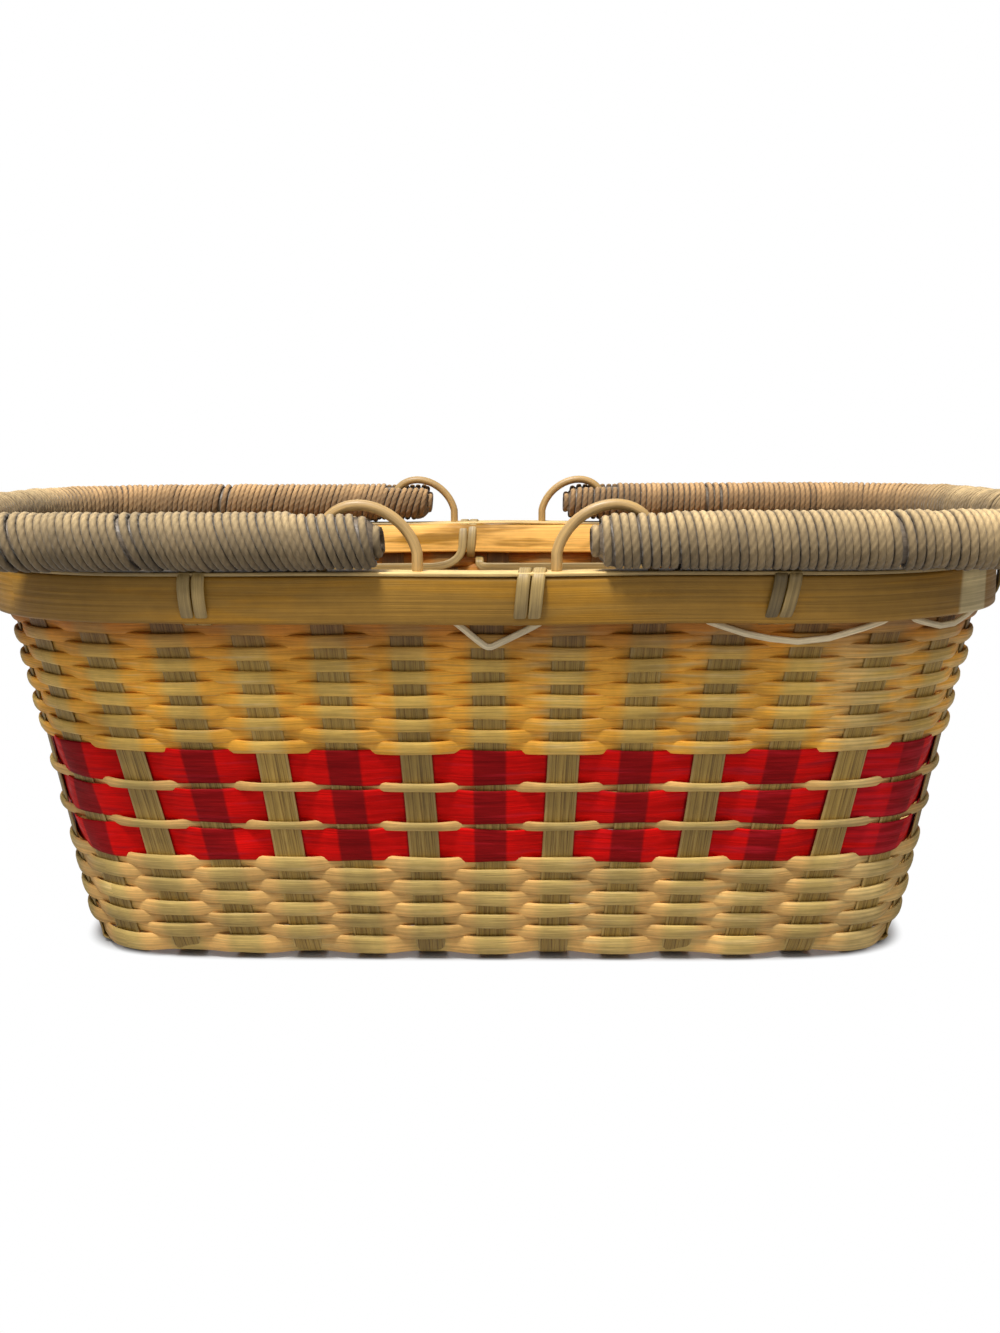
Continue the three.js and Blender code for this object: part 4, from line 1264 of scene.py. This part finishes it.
class BASKET_OT_rim(bpy.types.Operator):
    """Lays the outer band, the inner band and the filler round the top of the wall"""

    bl_idname = "basket.rim"
    bl_label = "Rim"

    def execute(self, context):
        rim, colours, top = sizes().rim, sizes().colours, sizes().rim.band_top
        near, far = rim.band_slot, rim.band_slot + rim.band_thickness
        outer = rim_bamboo("Rim skin", colours.rim_skin, colours.rim_amber)
        inner = rim_bamboo("Rim inner side", colours.rim_inner, colours.rim_amber)
        pith = bare_cane("Filler pith", colours.filler, 800.0, 0.05)
        random = np.random.default_rng(sizes().weave.seed + 2)
        hoop("rim_outer_strip", "rim_outer_band", near, far, top - rim.outer_height, top,
             rim.band_round, rim.band_tilt, lapped, outer, "bamboo_rim", random)
        hoop("rim_inner_strip", "rim_inner_band", -far, -near, top - rim.inner_height, top,
             rim.band_round, 0.0, plain, inner, "bamboo_rim", random)
        low, high = top + rim.filler_gap, top + rim.filler_gap + rim.filler_height
        # The filler is darker under the handles: a painted shadow.
        hoop("rim_filler_strip", "rim_filler", -rim.filler_half, rim.filler_half, low, high,
             rim.filler_round, 0.0, handle_shaded, pith, "pale_filler", random)
        return {"FINISHED"}


class BASKET_OT_lashing(bpy.types.Operator):
    """Binds the rim with flat cane, two turns at each spot"""

    bl_idname = "basket.lashing"
    bl_label = "Lashing"

    def execute(self, context):
        rim = sizes().rim
        both = cut_corners(np.concatenate(lashing_path(), -1), 3)
        section = lens(10, 0.5) * [rim.lashing_width / 2, rim.lashing_thickness / 2]
        points = sweep(both[:, :3], unit(both[:, 3:6]), section)
        cane = bare_cane("Lashing cane", sizes().colours.lashing, 1100.0, 0.1)
        piece = skin("rim_lashing_cane", points, marks={"tone": both[:, 6:]})
        fit(piece, "basket", "cane", cane, "rim_lashing")
        bleached = bare_cane("Outer run cane", sizes().colours.outer_run, 1100.0, 0.1)
        for place, run in enumerate(OUTER_RUNS):
            fit(skin(f"rim_outer_run_{place + 1}", outer_run(run)), "basket", "cane", bleached)
        return {"FINISHED"}


class BASKET_OT_loops(bpy.types.Operator):
    """Stands the four hinge loops of round cane in the rim"""

    bl_idname = "basket.loops"
    bl_label = "Hinge loops"

    def execute(self, context):
        handle = sizes().handle
        cane = bare_cane("Loop cane", sizes().colours.loop, 700.0, 0.25)
        line = loop_line()
        section = lens(12, 1.0) * handle.loop_cane / 2
        across = np.tile([0, 1.0, 0], (len(line), 1))
        for end, y in (("front", -handle.leg_y), ("back", handle.leg_y)):
            for side, way in (("left", 1), ("right", -1)):
                points = sweep(line * [way, 1, 1], across, section)
                points = points + np.array([-way * handle.hinge_x, y, handle.axis_z])
                name = f"hinge_loop_{end}_{side}"
                fit(skin(f"{name}_cane", points), "basket", "cane", cane, name)
        return {"FINISHED"}


class BASKET_OT_handles(bpy.types.Operator):
    """Builds both swing handles: core, heads and the cord wound over them"""

    bl_idname = "basket.handles"
    bl_label = "Handles"

    def execute(self, context):
        for place, side in enumerate(("left", "right")):
            random = np.random.default_rng(sizes().handle.seed + place)
            handle_core(side)
            handle_cheeks(side)
            handle_hubs(side)
            head_turns(side, random)
            winding(side, random)
        return {"FINISHED"}


def floor_material():
    """Pale floor that keeps the shadow close to the basket and is plain white to the camera further out."""
    material, nodes, shader, _ = surface("Pale floor")
    shader.inputs["Base Color"].default_value = opaque(sizes().stage.floor_tone)
    shader.inputs["Roughness"].default_value = 0.9
    wall = sizes().wall
    place = nodes.add("ShaderNodeTexCoord").outputs["Object"]
    margin = 2 * wall.base_bow
    squeezed = nodes.stretch(place, 1 / (wall.base_half_length + margin), 1 / (wall.base_half_width + margin))
    parts = [nodes.math("ABSOLUTE", part) for part in nodes.split(squeezed)]
    away = nodes.math("ADD", nodes.math("POWER", parts[0], 6.0), nodes.math("POWER", parts[1], 6.0))
    light = nodes.add("ShaderNodeLightPath").outputs
    seen = nodes.math("MAXIMUM", light["Is Camera Ray"], light["Is Transmission Ray"])
    white = nodes.add("ShaderNodeEmission", Strength=1.0).outputs[0]
    share = nodes.product(seen, nodes.ramp(away, 0.75, 1.0))
    both = nodes.add("ShaderNodeMixShader")
    nodes.feed(both, "i0", share)
    nodes.feed(both, "i1", shader.outputs[0])
    nodes.feed(both, "i2", white)
    nodes.feed(material.node_tree.nodes["Material Output"], "Surface", both.outputs[0])
    return material


def studio_world(level):
    """White to the camera and to rays that pass through a surface, and an even soft light for everything
    else.
    """
    world = bpy.data.worlds.new("Studio")
    world.use_nodes = True
    nodes = Nodes(world.node_tree)
    background = world.node_tree.nodes["Background"]
    background.inputs["Color"].default_value = (1.0, 1.0, 1.0, 1.0)
    light = nodes.add("ShaderNodeLightPath").outputs
    seen = nodes.math("MAXIMUM", light["Is Camera Ray"], light["Is Transmission Ray"])
    nodes.feed(background, "Strength", nodes.ramp(seen, 0.0, 1.0, level, 1.0))
    return world


def area_lamp(name, power, size, place, target):
    """A square lamp at a place that faces a target."""
    lamp = bpy.data.lights.new(name, "AREA")
    lamp.energy = power
    lamp.size = size
    made = bpy.data.objects.new(name, lamp)
    bpy.context.scene.collection.objects.link(made)
    place, target = np.array(place), np.array(target)
    back = unit(place - target)
    right = unit(np.cross([0, 1.0, 0.01], back))
    turn = np.eye(4)
    turn[:3, :3] = np.stack([right, np.cross(back, right), back], -1)
    turn[:3, 3] = place
    made.matrix_world = Matrix(turn.tolist())
    return made


class BASKET_OT_stage(bpy.types.Operator):
    """Sets the camera, the lamps, the white surroundings and the floor"""

    bl_idname = "basket.stage"
    bl_label = "Stage"

    def execute(self, context):
        stage = sizes().stage
        camera = bpy.data.objects.new("Camera", bpy.data.cameras.new("Camera"))
        context.scene.collection.objects.link(camera)
        camera.data.lens = stage.lens
        camera.data.sensor_width = stage.sensor
        camera.data.clip_start = stage.clip
        turn, roll = Matrix.Rotation(stage.camera_turn, 4, "Z"), Matrix.Rotation(stage.camera_roll, 4, "Z")
        camera.matrix_world = turn @ Matrix.Rotation(math.pi / 2 - stage.camera_down, 4, "X") @ roll
        camera.location = (stage.camera_x, stage.camera_y, stage.camera_z)
        context.scene.camera = camera
        context.scene.world = studio_world(stage.world_level)
        context.scene.view_settings.view_transform = "Standard"
        area_lamp("Key lamp", stage.key_power, stage.key_size, stage.key_place, stage.lamp_target)
        area_lamp("Fill lamp", stage.fill_power, stage.soft_size, stage.fill_place, stage.lamp_target)
        area_lamp("Back lamp", stage.back_power, stage.soft_size, stage.back_place, stage.lamp_target)
        mesh = bpy.data.meshes.new("Floor")
        corners = np.array([(-1, -1, 0), (1, -1, 0), (1, 1, 0), (-1, 1, 0)]) * stage.floor_reach
        mesh.from_pydata(corners.tolist(), [], [(0, 1, 2, 3)])
        mesh.materials.append(floor_material())
        floor = bpy.data.objects.new("Floor", mesh)
        context.scene.collection.objects.link(floor)
        return {"FINISHED"}


class BASKET_PT_panel(bpy.types.Panel):
    """Lists the basket's pieces"""

    bl_label = "Harvest basket"
    bl_idname = "BASKET_PT_panel"
    bl_space_type = "VIEW_3D"
    bl_region_type = "UI"
    bl_category = "Basket"

    def draw(self, context):
        for step in STEPS:
            self.layout.operator(step.bl_idname)


class HarvestBasket(bpy.types.PropertyGroup):
    """All sizes and colours of the basket."""

    wall: bpy.props.PointerProperty(type=BasketWallSizes, name="Wall", description="Wall and stakes")
    weave: bpy.props.PointerProperty(type=BasketWeaveSizes, name="Weave", description="Woven splints")
    rim: bpy.props.PointerProperty(type=BasketRimSizes, name="Rim", description="Bands and lashing")
    handle: bpy.props.PointerProperty(type=BasketHandleSizes, name="Handles", description="Handles and loops")
    colours: bpy.props.PointerProperty(type=BasketColours, name="Colours", description="Finishes")
    stage: bpy.props.PointerProperty(type=BasketStageSizes, name="Stage", description="Camera and light")


STEPS = (
    BASKET_OT_stakes,
    BASKET_OT_weavers,
    BASKET_OT_rim,
    BASKET_OT_lashing,
    BASKET_OT_loops,
    BASKET_OT_handles,
    BASKET_OT_stage,
)
GROUPS = (
    BasketWallSizes,
    BasketWeaveSizes,
    BasketRimSizes,
    BasketHandleSizes,
    BasketColours,
    BasketStageSizes,
    HarvestBasket,
)


def register():
    """Adds the classes and the scene's settings."""
    for made in (*GROUPS, *STEPS, BASKET_PT_panel):
        bpy.utils.register_class(made)
    bpy.types.Scene.harvest_basket = bpy.props.PointerProperty(type=HarvestBasket)


def unregister():
    """Takes the settings and the classes away again."""
    del bpy.types.Scene.harvest_basket
    for made in reversed((*GROUPS, *STEPS, BASKET_PT_panel)):
        bpy.utils.unregister_class(made)


def main():
    """Builds every piece and the stage."""
    register()
    bpy.ops.basket.stakes()
    bpy.ops.basket.weavers()
    bpy.ops.basket.rim()
    bpy.ops.basket.lashing()
    bpy.ops.basket.loops()
    bpy.ops.basket.handles()
    bpy.ops.basket.stage()
    bpy.context.view_layer.update()


if __name__ == "__main__":
    main()
